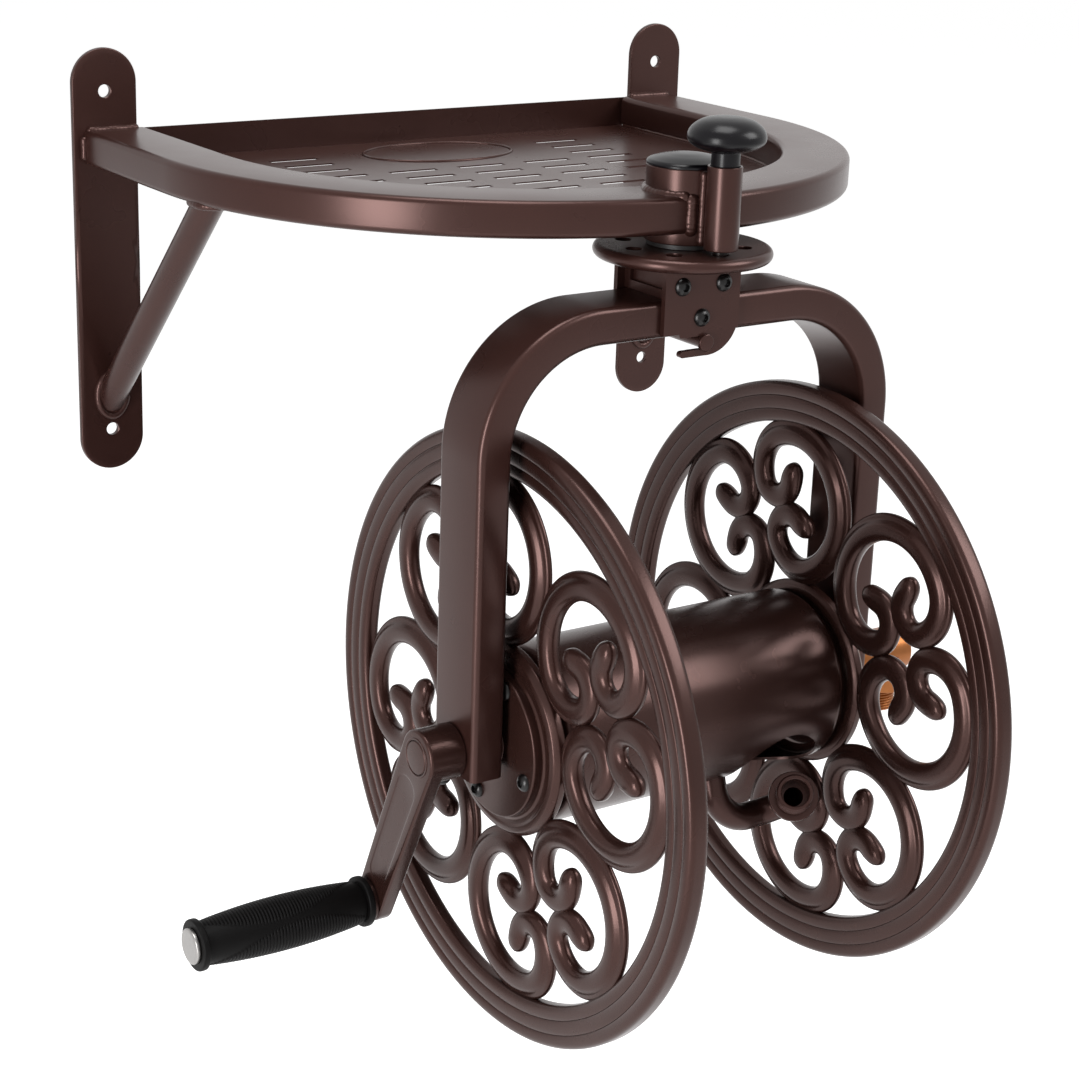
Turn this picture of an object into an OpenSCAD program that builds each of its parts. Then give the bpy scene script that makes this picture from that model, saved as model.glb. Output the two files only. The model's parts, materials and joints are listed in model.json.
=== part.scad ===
// Wall mounted hose reel: a shelf bracket with a swivelling yoke that carries a reel
// with two scrolled wheels, a crank, a water inlet and a hose outlet.
// The origin is the middle of the four wall bolts, on the wall. The wall is the plane y = 0,
// the reel hangs on the -Y side, +X runs along the wall and +Z is up.

/* [Wall plates] */
// Distance between the two columns of wall bolts
plate_span = 496; // [460:1:540]
// Distance between the two bolts of one plate
hole_rise = 254; // [230:1:300]
// Width of the strap
plate_w = 50; // [44:1:60]
// Thickness of the strap
plate_t = 4; // [3:0.5:6]
// Strap left beyond each bolt
plate_end = 31; // [27:1:40]
// Diameter of the bolt holes
plate_hole_d = 9.5; // [6:0.5:12]

/* [Shelf rail] */
// Width of the rectangular tube, lying flat
rail_w = 50; // [44:1:56]
// Height of the rectangular tube
rail_h = 25; // [20:1:30]
// Wall of the tube
rail_wall = 2; // [1.5:0.5:3]
// Outer corner radius of the tube
rail_corner = 3.5; // [2:0.5:5]
// How far the rail's centre line runs inside the bolt columns
rail_inset = 8; // [4:1:14]
// Straight length of each leg
rail_leg = 136; // [110:1:170]
// Underside of the rail above the middle of the bolts
rail_lift = 74.5; // [66:0.5:84]

/* [Shelf tray] */
// Thickness of the tray sheet
tray_t = 1; // [1:0.5:3]
// Length of a drain slot
slot_l = 40; // [30:1:46]
// Width of a drain slot
slot_w = 6.5; // [3:0.5:8]
// Distance between the rows of slots
slot_pitch = 25; // [20:1:32]
// Distance between the columns of slots
slot_column = 59; // [52:1:64]
// First row of slots from the wall
slot_rear = 50; // [36:1:70]
// Plain border between the slots and the rail
tray_border = 18; // [10:1:30]

/* [Struts] */
// Diameter of the diagonal struts
strut_d = 22; // [16:1:26]
// Wall of the strut tube
strut_wall = 2; // [1.5:0.5:3]
// Foot of the strut above the lower bolt
strut_rise = 27; // [24:1:40]
// Head of the strut from the wall
strut_reach = 172; // [140:1:190]

/* [Pivot] */
// Outer diameter of the pivot tube
pivot_tube_d = 54; // [52:1:60]
// Wall of the pivot tube
pivot_tube_wall = 4; // [3:0.5:5]
// Pivot tube above the rail
pivot_rise = 17; // [14:1:24]
// Diameter of the pivot shaft
shaft_d = 25; // [20:1:28]
// Diameter of the shaft's threaded end
shaft_thread_d = 16; // [12:1:18]
// Length of each pivot bush inside the tube
pivot_bush_l = 14; // [10:1:16]
// Flange of the lower pivot bush
pivot_flange_t = 3; // [2:0.5:4]
// Thickness of the retaining washer
pivot_washer_t = 2.5; // [1.5:0.5:3]
// Outer diameter of the retaining washer
pivot_washer_d = 34; // [30:1:38]
// Height of the retaining nut
pivot_nut_h = 8; // [6:0.5:9]
// Nut across its flats
pivot_nut_flats = 24; // [22:1:27]
// Rise of the domed cap above the tube
cap_rise = 6; // [4:0.5:10]
// Depth of the cap's plug in the tube
cap_plug = 6; // [4:0.5:8]
// Wall of the cap
cap_wall = 2; // [1.5:0.5:3]

/* [Lock pin] */
// Outer diameter of the lock tube
lock_tube_d = 23; // [21:1:26]
// Wall of the lock tube
lock_tube_wall = 1.6; // [1.2:0.2:2.4]
// Length of the lock tube
lock_tube_l = 55; // [52:1:66]
// Gap between the lock tube and the pivot tube, filled by weld
lock_gap = 2; // [1:0.5:3]
// Diameter of the lock pin
pin_d = 9.5; // [8:0.5:11]
// Travel of the lock pin
pin_travel = 8; // [6:0.5:9]
// Height of the guide at the foot of the lock tube
guide_h = 8; // [6:0.5:10]
// Thickness of the pin's collar
collar_t = 3; // [2:0.5:4]
// Thickness of the stop ring above the spring
stop_t = 2; // [1.5:0.5:3]
// Wire of the lock spring
spring_wire = 1.4; // [1:0.2:1.8]
// Turns of the lock spring
spring_turns = 6; // [4:1:7]
// Diameter of the knob
knob_d = 52; // [44:1:58]
// Knob above its widest line
knob_dome = 14; // [10:1:18]
// Knob below its widest line
knob_under = 9; // [6:1:12]
// Neck that shows under the knob
neck_l = 9; // [8.5:0.5:12]

/* [Index disc] */
// Diameter of the index disc
disc_d = 121; // [112:1:132]
// Thickness of the index disc
disc_t = 9; // [7:0.5:11]
// Gap between the rail and the disc
disc_drop = 11.5; // [9:0.5:14]
// Number of index holes
index_count = 8; // [8:4:12]
// Clearance of the pin in an index hole
index_clear = 0.75; // [0.5:0.05:1.2]

/* [Hanger] */
// Width of the hanger plates
hanger_w = 62; // [56:1:66]
// Offset of the hanger plates towards the crank
hanger_shift = 3.5; // [0:0.5:5]
// Thickness of the hanger plates
hanger_t = 4; // [3:0.5:6]
// Gap between the disc and the yoke
hanger_gap = 22.5; // [19:0.5:28]
// Radius of the hook's round back
hook_back_r = 25.5; // [24:0.5:27]
// Thickness of the hook under the bolt
hook_t = 4.6; // [3.5:0.1:7]
// Diameter of the hook bolt
hook_bolt_d = 9; // [7:0.5:10]
// Width of the spacer block
block_w = 50; // [46:1:54]
// Height of the spacer block
block_h = 22; // [19:0.5:22]
// Height of the sunk pocket in the block's ends
pocket_h = 10; // [8:0.5:12]
// Depth of that pocket
pocket_depth = 3; // [2:0.5:4]
// Border round that pocket
pocket_border = 6; // [4:0.5:8]
// Reach of the hook's lip beyond the bolt
lip_reach = 18; // [16:0.5:19]

/* [Screws] */
// Shank diameter of the screws
screw_d = 5; // [4:0.5:6]
// Head diameter of the screws
screw_head_d = 12.5; // [9:0.5:13]
// Head height of the screws
screw_head_h = 3.8; // [3:0.2:5]
// Distance between the two upper hanger screws
hanger_screw_span = 34; // [28:1:36]
// Upper hanger screws above the foot of the spacer block
hanger_screw_lift = 9.5; // [8:0.5:12]
// Radius of the hub screw circle
hub_screw_r = 44; // [36:1:45]
// Number of hub screws on each wheel
hub_screw_count = 4; // [3:1:6]

/* [Yoke] */
// Distance between the centre lines of the arms
yoke_span = 320; // [318:1:350]
// Width of the yoke tube, across the arms
yoke_w = 50; // [44:1:56]
// Thickness of the yoke tube
yoke_t = 25; // [20:1:28]
// Wall of the yoke tube
yoke_wall = 2; // [1.5:0.5:3]
// Outer corner radius of the yoke tube
yoke_corner = 3.5; // [2:0.5:5]
// Radius of the two bends, at the tube's centre
yoke_bend_r = 82; // [50:1:110]
// Axle below the top of the yoke, centre to centre
axle_drop = 285.5; // [270:0.5:310]
// Arm left below the axle
yoke_foot = 16; // [15:0.5:24]
// Thickness of the plug in the end of each arm
plug_t = 3; // [2:0.5:3.5]

/* [Axle] */
// Outer diameter of the hollow axle
axle_d = 20; // [16:1:20]
// Bore of the axle
axle_bore = 12; // [8:1:13]
// Outer diameter of the axle bushes
axle_bush_d = 24; // [22:0.5:25]
// Diameter of the bush flange
axle_flange_d = 34; // [30:1:40]
// Thickness of the bush flange
axle_flange_t = 2.5; // [2:0.5:3]

/* [Wheels] */
// Outer diameter of the wheels
wheel_d = 430; // [400:1:450]
// Free space between a wheel and its arm
wheel_arm_gap = 11.5; // [11:0.5:18]
// Width of the moulded rim
rim_w = 30; // [26:1:34]
// Thickness of the rim and the hub
rim_t = 16; // [14:0.5:18]
// Width of a scroll bar
scroll_w = 20; // [16:0.5:22]
// Thickness of a scroll bar
scroll_t = 13; // [10:0.5:15]
// Half the distance between the two scrolls of a pair
scroll_half_pitch = 37; // [34:0.5:40]
// Radius of the hooked ends, at the bar's centre
scroll_hook_r = 16; // [14:0.5:17]
// Overlap of the cast bars where they meet
scroll_lap = 2.5; // [1.5:0.1:3.5]
// Turn of the wheels from upright
wheel_phase = 25; // [0:1:45]

/* [Drum] */
// Outer diameter of the drum
drum_d = 126; // [110:1:130]
// Wall of the drum
drum_wall = 2; // [1.5:0.5:4]
// Radius of the hose window
window_r = 37; // [34:1:40]
// Place of the window from the far wheel
window_inset = 46; // [40:1:50]

/* [Hub plates] */
// Diameter of the hub plates
hub_plate_d = 106; // [98:1:116]
// Thickness of the hub plates
hub_plate_t = 6; // [4:0.5:8]
// Diameter of the hub boss
hub_boss_d = 32; // [28:1:40]

/* [Crank] */
// Distance from the axle to the handle
crank_r = 145; // [130:1:155]
// Lean of the hanging crank towards the wall
crank_lean = 25; // [0:1:45]
// Thickness of the crank bar
crank_t = 12; // [10:0.5:14]
// Length of the crank's hub behind the bar
crank_hub_l = 16; // [12:1:22]
// Diameter of the crank's hub
crank_hub_d = 38; // [34:1:44]
// Width of the bar at the handle
crank_tip_w = 31; // [26:1:36]
// Depth of the sunk panel in the bar
crank_panel = 1.2; // [0.8:0.1:2]

/* [Grip] */
// Length of the grip
grip_l = 132; // [110:1:134]
// Diameter of the grip at its middle
grip_d = 33; // [28:1:36]
// Diameter of the grip near its ends
grip_end_d = 29; // [26:1:32]
// Diameter of the grip's end flanges
grip_flange_d = 36; // [32:1:40]
// Width of the grip's end flanges
grip_flange_l = 5; // [4:0.5:7]
// Number of rings on the grip
grip_rings = 22; // [12:1:30]
// Diameter of the handle rod
rod_d = 13; // [10:0.5:15]
// Diameter of the rod's riveted head
rod_head_d = 25; // [18:0.5:26]
// Thickness of the rod's riveted head
rod_head_t = 3; // [2:0.5:4]

/* [Water way] */
// Outer diameter of the hose threads
thread_d = 26.8; // [24:0.2:28]
// Length of the hose threads
thread_l = 16; // [12:1:20]
// Wall of the threaded ends
thread_wall = 3.5; // [2.5:0.5:4.5]
// Outer diameter of the outlet pipe
pipe_d = 20; // [16:0.5:21]
// Bore of the outlet pipe
pipe_bore = 14; // [10:0.5:15]
// Outer diameter of the sleeve that carries the pipe on the axle
tee_d = 34; // [30:1:40]
// Length of that sleeve
tee_l = 36; // [30:1:44]
// Place of the outlet fitting from the far wheel
outlet_inset = 32; // [30:0.5:36]
// Straight run of the outlet pipe from the axle's centre
pipe_run = 70; // [68:1:76]
// Bend radius of the outlet pipe
pipe_bend_r = 26; // [24:0.5:28]
// Straight run between the two bends of the outlet pipe
pipe_link = 6; // [4:0.5:10]
// Direction of the outlet pipe from straight down, towards the front
pipe_turn = 18; // [10:1:30]
// Turn of the outlet fitting about the axle from the pipe's direction
fitting_turn = 249; // [235:1:255]
// Bend of the outlet fitting
fitting_bend = 120; // [90:1:125]
// Bend radius of the outlet fitting
fitting_bend_r = 20; // [18:0.5:22]
// Collar of the outlet fitting
fitting_collar_d = 36; // [32:0.5:38]
// Length of the fitting's collar
fitting_collar_l = 5; // [3:0.5:6]
// Diameter of the brass inlet body
inlet_d = 35; // [32:0.5:40]
// Length of the brass inlet body
inlet_l = 52; // [50:1:60]
// Inlet leg below the axle
inlet_drop = 36; // [34:1:44]

/* [Fits] */
// Radial clearance of a turning fit
run_clear = 0.06; // [0.02:0.01:0.1]
// Radial clearance of a hand-moved slide
slide_clear = 0.4; // [0.3:0.05:0.6]
// End play between pieces that turn on each other
end_play = 0.4; // [0.3:0.05:0.6]
// Gap between pieces that are fixed to each other
seat_gap = 0.1; // [0.05:0.01:0.15]

/* [Hidden] */
$fn = 72;
// Facets of the rail's wide bends
wide_steps = 240;
// Overrun of every cut past the face that it opens
overrun = 1;
// Leg of the weld fillets
weld_leg = 4.5;
// Free thread past the pivot nut
shaft_tail = 2;
// Facets in one rounded corner of a tube
corner_steps = 3;
// Facets in a rolled edge
edge_steps = 10;
// Rings in one turn of the lock spring, and sides of its wire
spring_rings = 8;
spring_sides = 6;
// Weld bead radius between the lock tube and the pivot tube
lock_bead_r = 3.5;
// Wall of the O-ring groove in the inlet
ring_wire = 2.4;
// Depth that the neck keeps inside the lock tube
neck_keep = 2;
// Crown of a domed screw head, as a share of its height and width
screw_crown_share = 0.6;
// Port that joins the axle's bore to the outlet pipe
axle_port_d = 9;
// Sweep of the weld on each side of the pivot tube, in degrees
weld_sweep = 76;
// Depth that a screw shank reaches into what it holds
screw_bite = 14;
// Reach of the bush screw into its bush
bush_bite = 1.5;
// Depth of a grip ring
ring_depth = 0.8;
// Sunk ring round the axle's end in the crank
crank_ring_w = 1.2;
crank_ring_d = 26;
// Metal left over the axle's end in the crank
crank_cap = 3;
// Collar between the crank and the grip
rod_collar_t = 3;
// Nut and head of the hook bolt
hook_head_h = 3;
// Rounded lower corner of the hanger plates above the yoke's underside
hanger_lip = 2.7;
// Height of the tray's rear flange below the rail's top
flange_step = 1;
// Thickness of the brass hex and cap on the inlet
inlet_hex_h = 8;

rail_x = plate_span / 2 - rail_inset;
rail_top = rail_lift + rail_h;
rail_inner = rail_x - rail_w / 2;
pivot_y = -(rail_leg + rail_x);
pivot_tube_r = pivot_tube_d / 2;
pivot_tube_in = pivot_tube_r - pivot_tube_wall;
disc_top = rail_lift - disc_drop;
disc_under = disc_top - disc_t;
tube_foot = disc_top + end_play + pivot_flange_t;
tube_head = rail_top + pivot_rise;
nut_room = end_play + pivot_washer_t + pivot_nut_h + shaft_tail;
upper_bush_top = tube_head - nut_room;
index_r = pivot_tube_r + lock_gap + lock_tube_d / 2;
lock_y = pivot_y - index_r;
lock_in = lock_tube_d / 2 - lock_tube_wall;
lock_head = tube_foot + lock_tube_l;
neck_d = 2 * (lock_in - slide_clear);
neck_foot = lock_head - neck_keep;
knob_foot = lock_head + neck_l;
pin_tip = disc_top + end_play;
collar_foot = tube_foot + guide_h + pin_travel + end_play;
stop_foot = neck_foot - pin_travel - end_play - stop_t;
spring_r = (pin_d / 2 + slide_clear + lock_in) / 2;
spring_foot = collar_foot + collar_t + seat_gap + spring_wire / 2;
spring_head = stop_foot - seat_gap - spring_wire / 2;
yoke_z = disc_under - hanger_gap - yoke_t / 2;
yoke_top = yoke_z + yoke_t / 2;
yoke_under = yoke_z - yoke_t / 2;
axle_z = yoke_z - axle_drop;
arm_in = (yoke_span - yoke_t) / 2;
arm_out = (yoke_span + yoke_t) / 2;
arm_foot = axle_z - yoke_foot;
bend_x = yoke_span / 2 - yoke_bend_r;
bend_z = yoke_z - yoke_bend_r;
bolt_z = yoke_under - seat_gap - hook_bolt_d / 2;
slot_gate = hook_bolt_d + 2 * seat_gap;
hook_x = hanger_w / 2 - hanger_shift - hook_back_r;
hook_z = bolt_z - slot_gate / 2 - hook_t + hook_back_r;
plate_in = yoke_w / 2 + seat_gap;
block_z = yoke_top + seat_gap;
hanger_screw_z = block_z + hanger_screw_lift;
hanger_screw_places = [[-hanger_screw_span / 2 - hanger_shift, hanger_screw_z],
    [hanger_screw_span / 2 - hanger_shift, hanger_screw_z], [-hanger_shift, yoke_z]];
hub_screw_turns = [for (i = [0 : hub_screw_count - 1]) 360 * (i + 1 / 2) / hub_screw_count - wheel_phase];
wheel_r = wheel_d / 2;
wheel_in = arm_in - wheel_arm_gap - rim_t;
wheel_gap = 2 * wheel_in;
window_x = wheel_in - window_inset;
pipe_x = wheel_in - outlet_inset - fitting_bend_r - pipe_bend_r - pipe_link;
pipe_angle = -90 - pipe_turn;
wheel_mid = wheel_in + rim_t / 2;
wheel_out = wheel_in + rim_t;
rim_in = wheel_r - rim_w;
plate_out = wheel_out + hub_plate_t;
boss_end = arm_in - axle_flange_t - seat_gap - end_play;
crank_in = arm_out + end_play;
crank_bar_in = crank_in + crank_hub_l;
crank_out = crank_bar_in + crank_t;
axle_near = crank_out - crank_cap - seat_gap;
grip_in = crank_out + rod_collar_t + end_play;
grip_out = grip_in + grip_l;
inlet_in = arm_out + end_play;
ring_z = inlet_in + 2 * ring_wire;
inlet_out = inlet_in + inlet_l;
inlet_leg_x = inlet_out - inlet_d / 2;
axle_far = inlet_leg_x - thread_d / 2 - end_play;
handle_y = pivot_y + crank_r * sin(crank_lean);
handle_z = axle_z - crank_r * cos(crank_lean);
// The scroll circle that meets the rim and the next pair of scrolls
scroll_reach = rim_in + scroll_lap;
scroll_b = 2 * sqrt(2) * scroll_half_pitch - 4 * scroll_lap + 2 * scroll_reach;
scroll_c = 2 * scroll_lap * scroll_lap - 2 * sqrt(2) * scroll_half_pitch * scroll_lap
    + 2 * scroll_half_pitch * scroll_half_pitch - scroll_reach * scroll_reach;
scroll_edge_r = (sqrt(scroll_b * scroll_b - 4 * scroll_c) - scroll_b) / 2;
scroll_r = scroll_edge_r - scroll_w / 2;
scroll_mid = scroll_half_pitch + sqrt(2) * (scroll_edge_r - scroll_lap);
scroll_turn_r = scroll_half_pitch - scroll_w / 2 + scroll_lap / 2;
scroll_turn_v = scroll_mid - scroll_r + scroll_turn_r;
scroll_hook_u = scroll_half_pitch - scroll_turn_r + scroll_hook_r;
hub_ring_r = norm([scroll_half_pitch, scroll_turn_v]) - scroll_turn_r - scroll_w / 2 + scroll_lap;

// Cross-section of a scroll bar, as shares of its half width and half thickness
bar_shares = [[1, 0.3], [0.62, 0.8], [0, 1]];
// Moulded face of the rim, as shares of its width and its half thickness
rim_shares = [[0, 0.4], [0.07, 0.74], [0.2, 0.82], [0.29, 0.66], [0.37, 0.66], [0.46, 0.94],
    [0.62, 1], [0.7, 0.8], [0.76, 0.8], [0.84, 0.94], [0.94, 0.8], [1, 0.42]];
// Moulded face of the hub, as shares of its radius and its half thickness
hub_shares = [[0.76, 1], [0.8, 1], [0.88, 0.94], [0.96, 0.78], [1, 0.4]];
// Outline of the knob, as shares of its radius and of its height over and under the widest line
knob_dome_shares = [[1, 0.1], [0.97, 0.3], [0.86, 0.58], [0.66, 0.8], [0.4, 0.94], [0, 1]];
knob_under_shares = [[0.46, 1], [0.62, 0.78], [0.84, 0.42], [0.97, 0.14]];
// Dome of the pivot cap, as shares of its radius and its rise
cap_shares = [[1, 0], [1, 0.3], [0.9, 0.58], [0.66, 0.84], [0.36, 0.96], [0, 1]];
// Swelling of the grip, as shares of its free length and of its swell
grip_swell_shares = [[0, 0], [0.16, 0.45], [0.34, 0.86], [0.52, 1], [0.72, 0.8], [0.88, 0.4], [1, 0]];
// Share of the ring pitch that a raised ring of the grip takes
ring_share = 0.55;
// Width of the crank's sunk panel, as a share of the bar at the handle
panel_share = 0.6;

bronze = [0.30, 0.22, 0.20];
dark_bronze = [0.23, 0.16, 0.15];
black = [0.09, 0.09, 0.10];
steel = [0.70, 0.70, 0.72];
brass = [0.70, 0.47, 0.24];
nylon = [0.86, 0.85, 0.80];

function arc_points(center, r, from, to, steps) =
    [for (i = [0 : steps]) let (a = from + (to - from) * i / steps) center + r * [cos(a), sin(a)]];

function rounded_box(w, h, r) = concat(
    arc_points([w / 2 - r, h / 2 - r], r, 0, 90, corner_steps),
    arc_points([r - w / 2, h / 2 - r], r, 90, 180, corner_steps),
    arc_points([r - w / 2, r - h / 2], r, 180, 270, corner_steps),
    arc_points([w / 2 - r, r - h / 2], r, 270, 360, corner_steps));

// Points of a list of shares, scaled to two sizes
function scaled(shares, a, b) = [for (s = shares) [s[0] * a, s[1] * b]];
function reversed(list) = [for (i = [len(list) - 1 : -1 : 0]) list[i]];
function mirrored_y(list) = [for (p = list) [p[0], -p[1]]];
function mirrored_x(list) = [for (p = list) [-p[0], p[1]]];

// Section of a bent tube: outer width, outer height, corner and wall
module tube_section(w, h, corner, wall) {
    difference() {
        polygon(rounded_box(w, h, corner));
        polygon(rounded_box(w - 2 * wall, h - 2 * wall, corner / 2));
    }
}

module ring(outer_r, inner_r, h) {
    difference() {
        cylinder(r = outer_r, h = h);
        translate([0, 0, -overrun]) cylinder(r = inner_r, h = h + 2 * overrun);
    }
}

module half_round(r, h) {
    rotate_extrude(angle = 180) square([r, h]);
}

// A domed screw, head up from z = 0 and shank down
module screw(shank) {
    rotate_extrude() polygon([[0, -shank], [screw_d / 2, -shank], [screw_d / 2, 0], [screw_head_d / 2, 0],
        [screw_head_d / 2, screw_head_h * (1 - screw_crown_share)],
        [screw_head_d / 2 * screw_crown_share, screw_head_h], [0, screw_head_h]]);
}

// Places that the bodies share
module at_pivot(z) {
    translate([0, pivot_y, z]) children();
}

module at_lock(z) {
    translate([0, lock_y, z]) children();
}

// Local z runs along the axle, local x towards the wall and local y up
module on_axle() {
    translate([0, pivot_y, axle_z]) rotate([90, 0, 90]) children();
}

module sided(side) {
    if (side > 0) children();
    else mirror([1, 0, 0]) children();
}

module wall_plate(side) {
    body_h = hole_rise + 2 * plate_end - plate_w;
    color(bronze) translate([side * plate_span / 2, 0, 0]) rotate([90, 0, 0]) difference() {
        union() {
            translate([-plate_w / 2, -body_h / 2, 0]) cube([plate_w, body_h, plate_t]);
            translate([0, body_h / 2, 0]) half_round(plate_w / 2, plate_t);
            translate([0, -body_h / 2, 0]) rotate([0, 0, 180]) half_round(plate_w / 2, plate_t);
        }
        for (end = [-1, 1]) translate([0, end * hole_rise / 2, -overrun])
            cylinder(d = plate_hole_d, h = plate_t + 2 * overrun);
    }
}

module rail_section() {
    tube_section(rail_w, rail_h, rail_corner, rail_wall);
}

// Half of the D-shaped rail, coped round the pivot tube at the front
module shelf_rail(side) {
    color(bronze) sided(side) difference() {
        translate([0, 0, rail_lift + rail_h / 2]) {
            translate([rail_x, -plate_t - seat_gap, 0]) rotate([90, 0, 0])
                linear_extrude(rail_leg - plate_t - seat_gap) rail_section();
            translate([0, -rail_leg, 0]) rotate([0, 0, 270]) rotate_extrude(angle = 90, $fn = wide_steps)
                translate([rail_x, 0]) rail_section();
        }
        at_pivot(rail_lift - overrun) cylinder(r = pivot_tube_r + seat_gap, h = rail_h + 2 * overrun);
    }
}

function slot_inside(x, y) = y > -rail_leg
    || norm([abs(x) + slot_l / 2, y + rail_leg]) < rail_inner - tray_border;

// Sheet floor inside the rail, with a flange along the wall and rows of drain slots
module shelf_tray() {
    edge = rail_inner - seat_gap;
    flange = (plate_span - plate_w) / 2 - seat_gap;
    rows =floor((rail_leg + rail_inner - slot_rear) / slot_pitch);
    color(bronze) difference() {
        translate([0, 0, rail_lift]) {
            translate([-edge, -rail_leg, 0]) cube([2 * edge, rail_leg, tray_t]);
            translate([0, -rail_leg, 0]) rotate([0, 0, 180]) half_round(edge, tray_t);
            translate([-flange, -tray_t, 0]) cube([2 * flange, tray_t, rail_h - flange_step]);
        }
        for (row = [0 : rows], column = [-2 : 2]) {
            x = column * slot_column;
            y = -slot_rear - row * slot_pitch;
            if (slot_inside(x, y) && (row > 2 || abs(column) == 2))
                translate([x - slot_l / 2, y - slot_w / 2, rail_lift - overrun])
                    cube([slot_l, slot_w, tray_t + 2 * overrun]);
        }
        at_pivot(rail_lift - overrun)
            cylinder(r = pivot_tube_r + seat_gap, h = tray_t + 2 * overrun);
    }
}

// Diagonal tube from the wall plate up to the underside of the rail
module strut(side) {
    foot_z = strut_rise - hole_rise / 2;
    rise = rail_lift - foot_z;
    run = strut_reach - plate_t;
    long = norm([rise, run]) + 2 * strut_d;
    x = side * plate_span / 2;
    color(bronze) difference() {
        translate([x, -plate_t, foot_z]) rotate([atan2(run, rise), 0, 0])
            translate([0, 0, -strut_d]) ring(strut_d / 2, strut_d / 2 - strut_wall, long);
        translate([x - strut_d, -plate_t - seat_gap, foot_z - 2 * strut_d])
            cube([2 * strut_d, 2 * strut_d, 4 * strut_d]);
        translate([x - strut_d, -strut_reach - 3 * strut_d, rail_lift - seat_gap])
            cube([2 * strut_d, 6 * strut_d, 3 * strut_d]);
    }
}

module pivot_tube() {
    color(bronze) at_pivot(tube_foot) ring(pivot_tube_r, pivot_tube_in, tube_head - tube_foot);
}

module lock_tube() {
    color(bronze) at_lock(tube_foot) ring(lock_tube_d / 2, lock_in, lock_tube_l);
}

// Fillets that hold the rail to the plates and the two tubes to the rail and to each other
module weld_beads() {
    fillet = [[0, 0], [weld_leg, 0], [0, weld_leg]];
    flat = rail_w - 2 * rail_corner;
    bead_h = min(lock_head, tube_head) - tube_foot;
    color(bronze) {
        for (side = [-1, 1]) {
            translate([side * rail_x - flat / 2, -plate_t - seat_gap, rail_top + seat_gap])
                rotate([90, 0, 90]) linear_extrude(flat) polygon(mirrored_x(fillet));
            at_pivot(rail_top + seat_gap) rotate([0, 0, 90 - side * 90 - weld_sweep / 2])
                rotate_extrude(angle = weld_sweep)
                translate([pivot_tube_r + seat_gap, 0]) polygon(fillet);
        }
        difference() {
            for (side = [-1, 1])
                translate([side * lock_tube_d / 4, pivot_y - pivot_tube_r - lock_gap / 2, tube_foot])
                cylinder(r = lock_bead_r, h = bead_h);
            at_pivot(tube_foot - overrun)
                cylinder(r = pivot_tube_r + seat_gap, h = bead_h + 2 * overrun);
            at_lock(tube_foot - overrun)
                cylinder(d = lock_tube_d + 2 * seat_gap, h = bead_h + 2 * overrun);
            translate([-rail_w, pivot_y - rail_w / 2 - lock_gap, rail_lift - seat_gap])
                cube([2 * rail_w, rail_w, rail_h + 2 * seat_gap]);
        }
    }
}

module pivot_bush_lower() {
    bore = shaft_d / 2 + run_clear;
    color(nylon) {
        at_pivot(tube_foot) ring(pivot_tube_in - seat_gap, bore, pivot_bush_l);
        at_pivot(tube_foot - pivot_flange_t) ring(pivot_tube_r - pivot_tube_wall / 2, bore, pivot_flange_t);
    }
}

module pivot_bush_upper() {
    color(nylon) at_pivot(upper_bush_top - pivot_bush_l)
        ring(pivot_tube_in - seat_gap, shaft_d / 2 + run_clear, pivot_bush_l);
}

// Domed plastic cap with a plug that fits inside the tube
module pivot_cap() {
    plug_r = pivot_tube_in - seat_gap;
    dome = scaled(cap_shares, pivot_tube_r, cap_rise);
    hollow = [for (p = reversed(dome)) [p[0] * (plug_r - cap_wall) / pivot_tube_r, max(0, p[1] - cap_wall)]];
    color(black) at_pivot(tube_head) rotate_extrude()
        polygon(concat([[plug_r - cap_wall, -cap_plug], [plug_r, -cap_plug], [plug_r, seat_gap]],
            [[pivot_tube_r, seat_gap]], [for (i = [1 : len(dome) - 1]) dome[i]], hollow));
}

module lock_guide() {
    color(steel) at_lock(tube_foot) ring(lock_in - seat_gap, pin_d / 2 + slide_clear, guide_h);
}

module lock_stop_ring() {
    color(steel) at_lock(stop_foot) ring(lock_in - seat_gap, pin_d / 2 + slide_clear, stop_t);
}

function spring_center(i) = let (a = 360 * i / spring_rings)
    [spring_r * cos(a), spring_r * sin(a),
        spring_foot + (spring_head - spring_foot) * i / (spring_rings * spring_turns)];

// One closed tube along a helix, between the pin's collar and the stop ring
module lock_spring() {
    last = spring_rings * spring_turns;
    points = [for (i = [0 : last], j = [0 : spring_sides - 1])
        let (a = 360 * i / spring_rings, b = 360 * j / spring_sides)
        spring_center(i) + spring_wire / 2 * [cos(b) * cos(a), cos(b) * sin(a), sin(b)]];
    sides = [for (i = [0 : last - 1], j = [0 : spring_sides - 1], half = [0, 1])
        let (k = (j + 1) % spring_sides, p = i * spring_sides, q = p + spring_sides)
        half == 0 ? [p + j, p + k, q + k] : [p + j, q + k, q + j]];
    foot = [for (j = [1 : spring_sides - 2]) [0, j + 1, j]];
    head = [for (j = [1 : spring_sides - 2]) last * spring_sides * [1, 1, 1] + [0, j, j + 1]];
    gaps = [for (i = [0 : last - spring_rings])
        norm(spring_center(i + spring_rings) - spring_center(i)) - spring_wire];
    echo(least_spring_gap = min(gaps));
    color(steel) at_lock(0) polyhedron(points, concat(sides, foot, head));
}

module lock_pin() {
    color(steel) {
        at_lock(pin_tip) cylinder(d = pin_d, h = neck_foot - pin_tip);
        at_lock(collar_foot) cylinder(r = lock_in - slide_clear, h = collar_t);
    }
}

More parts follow.
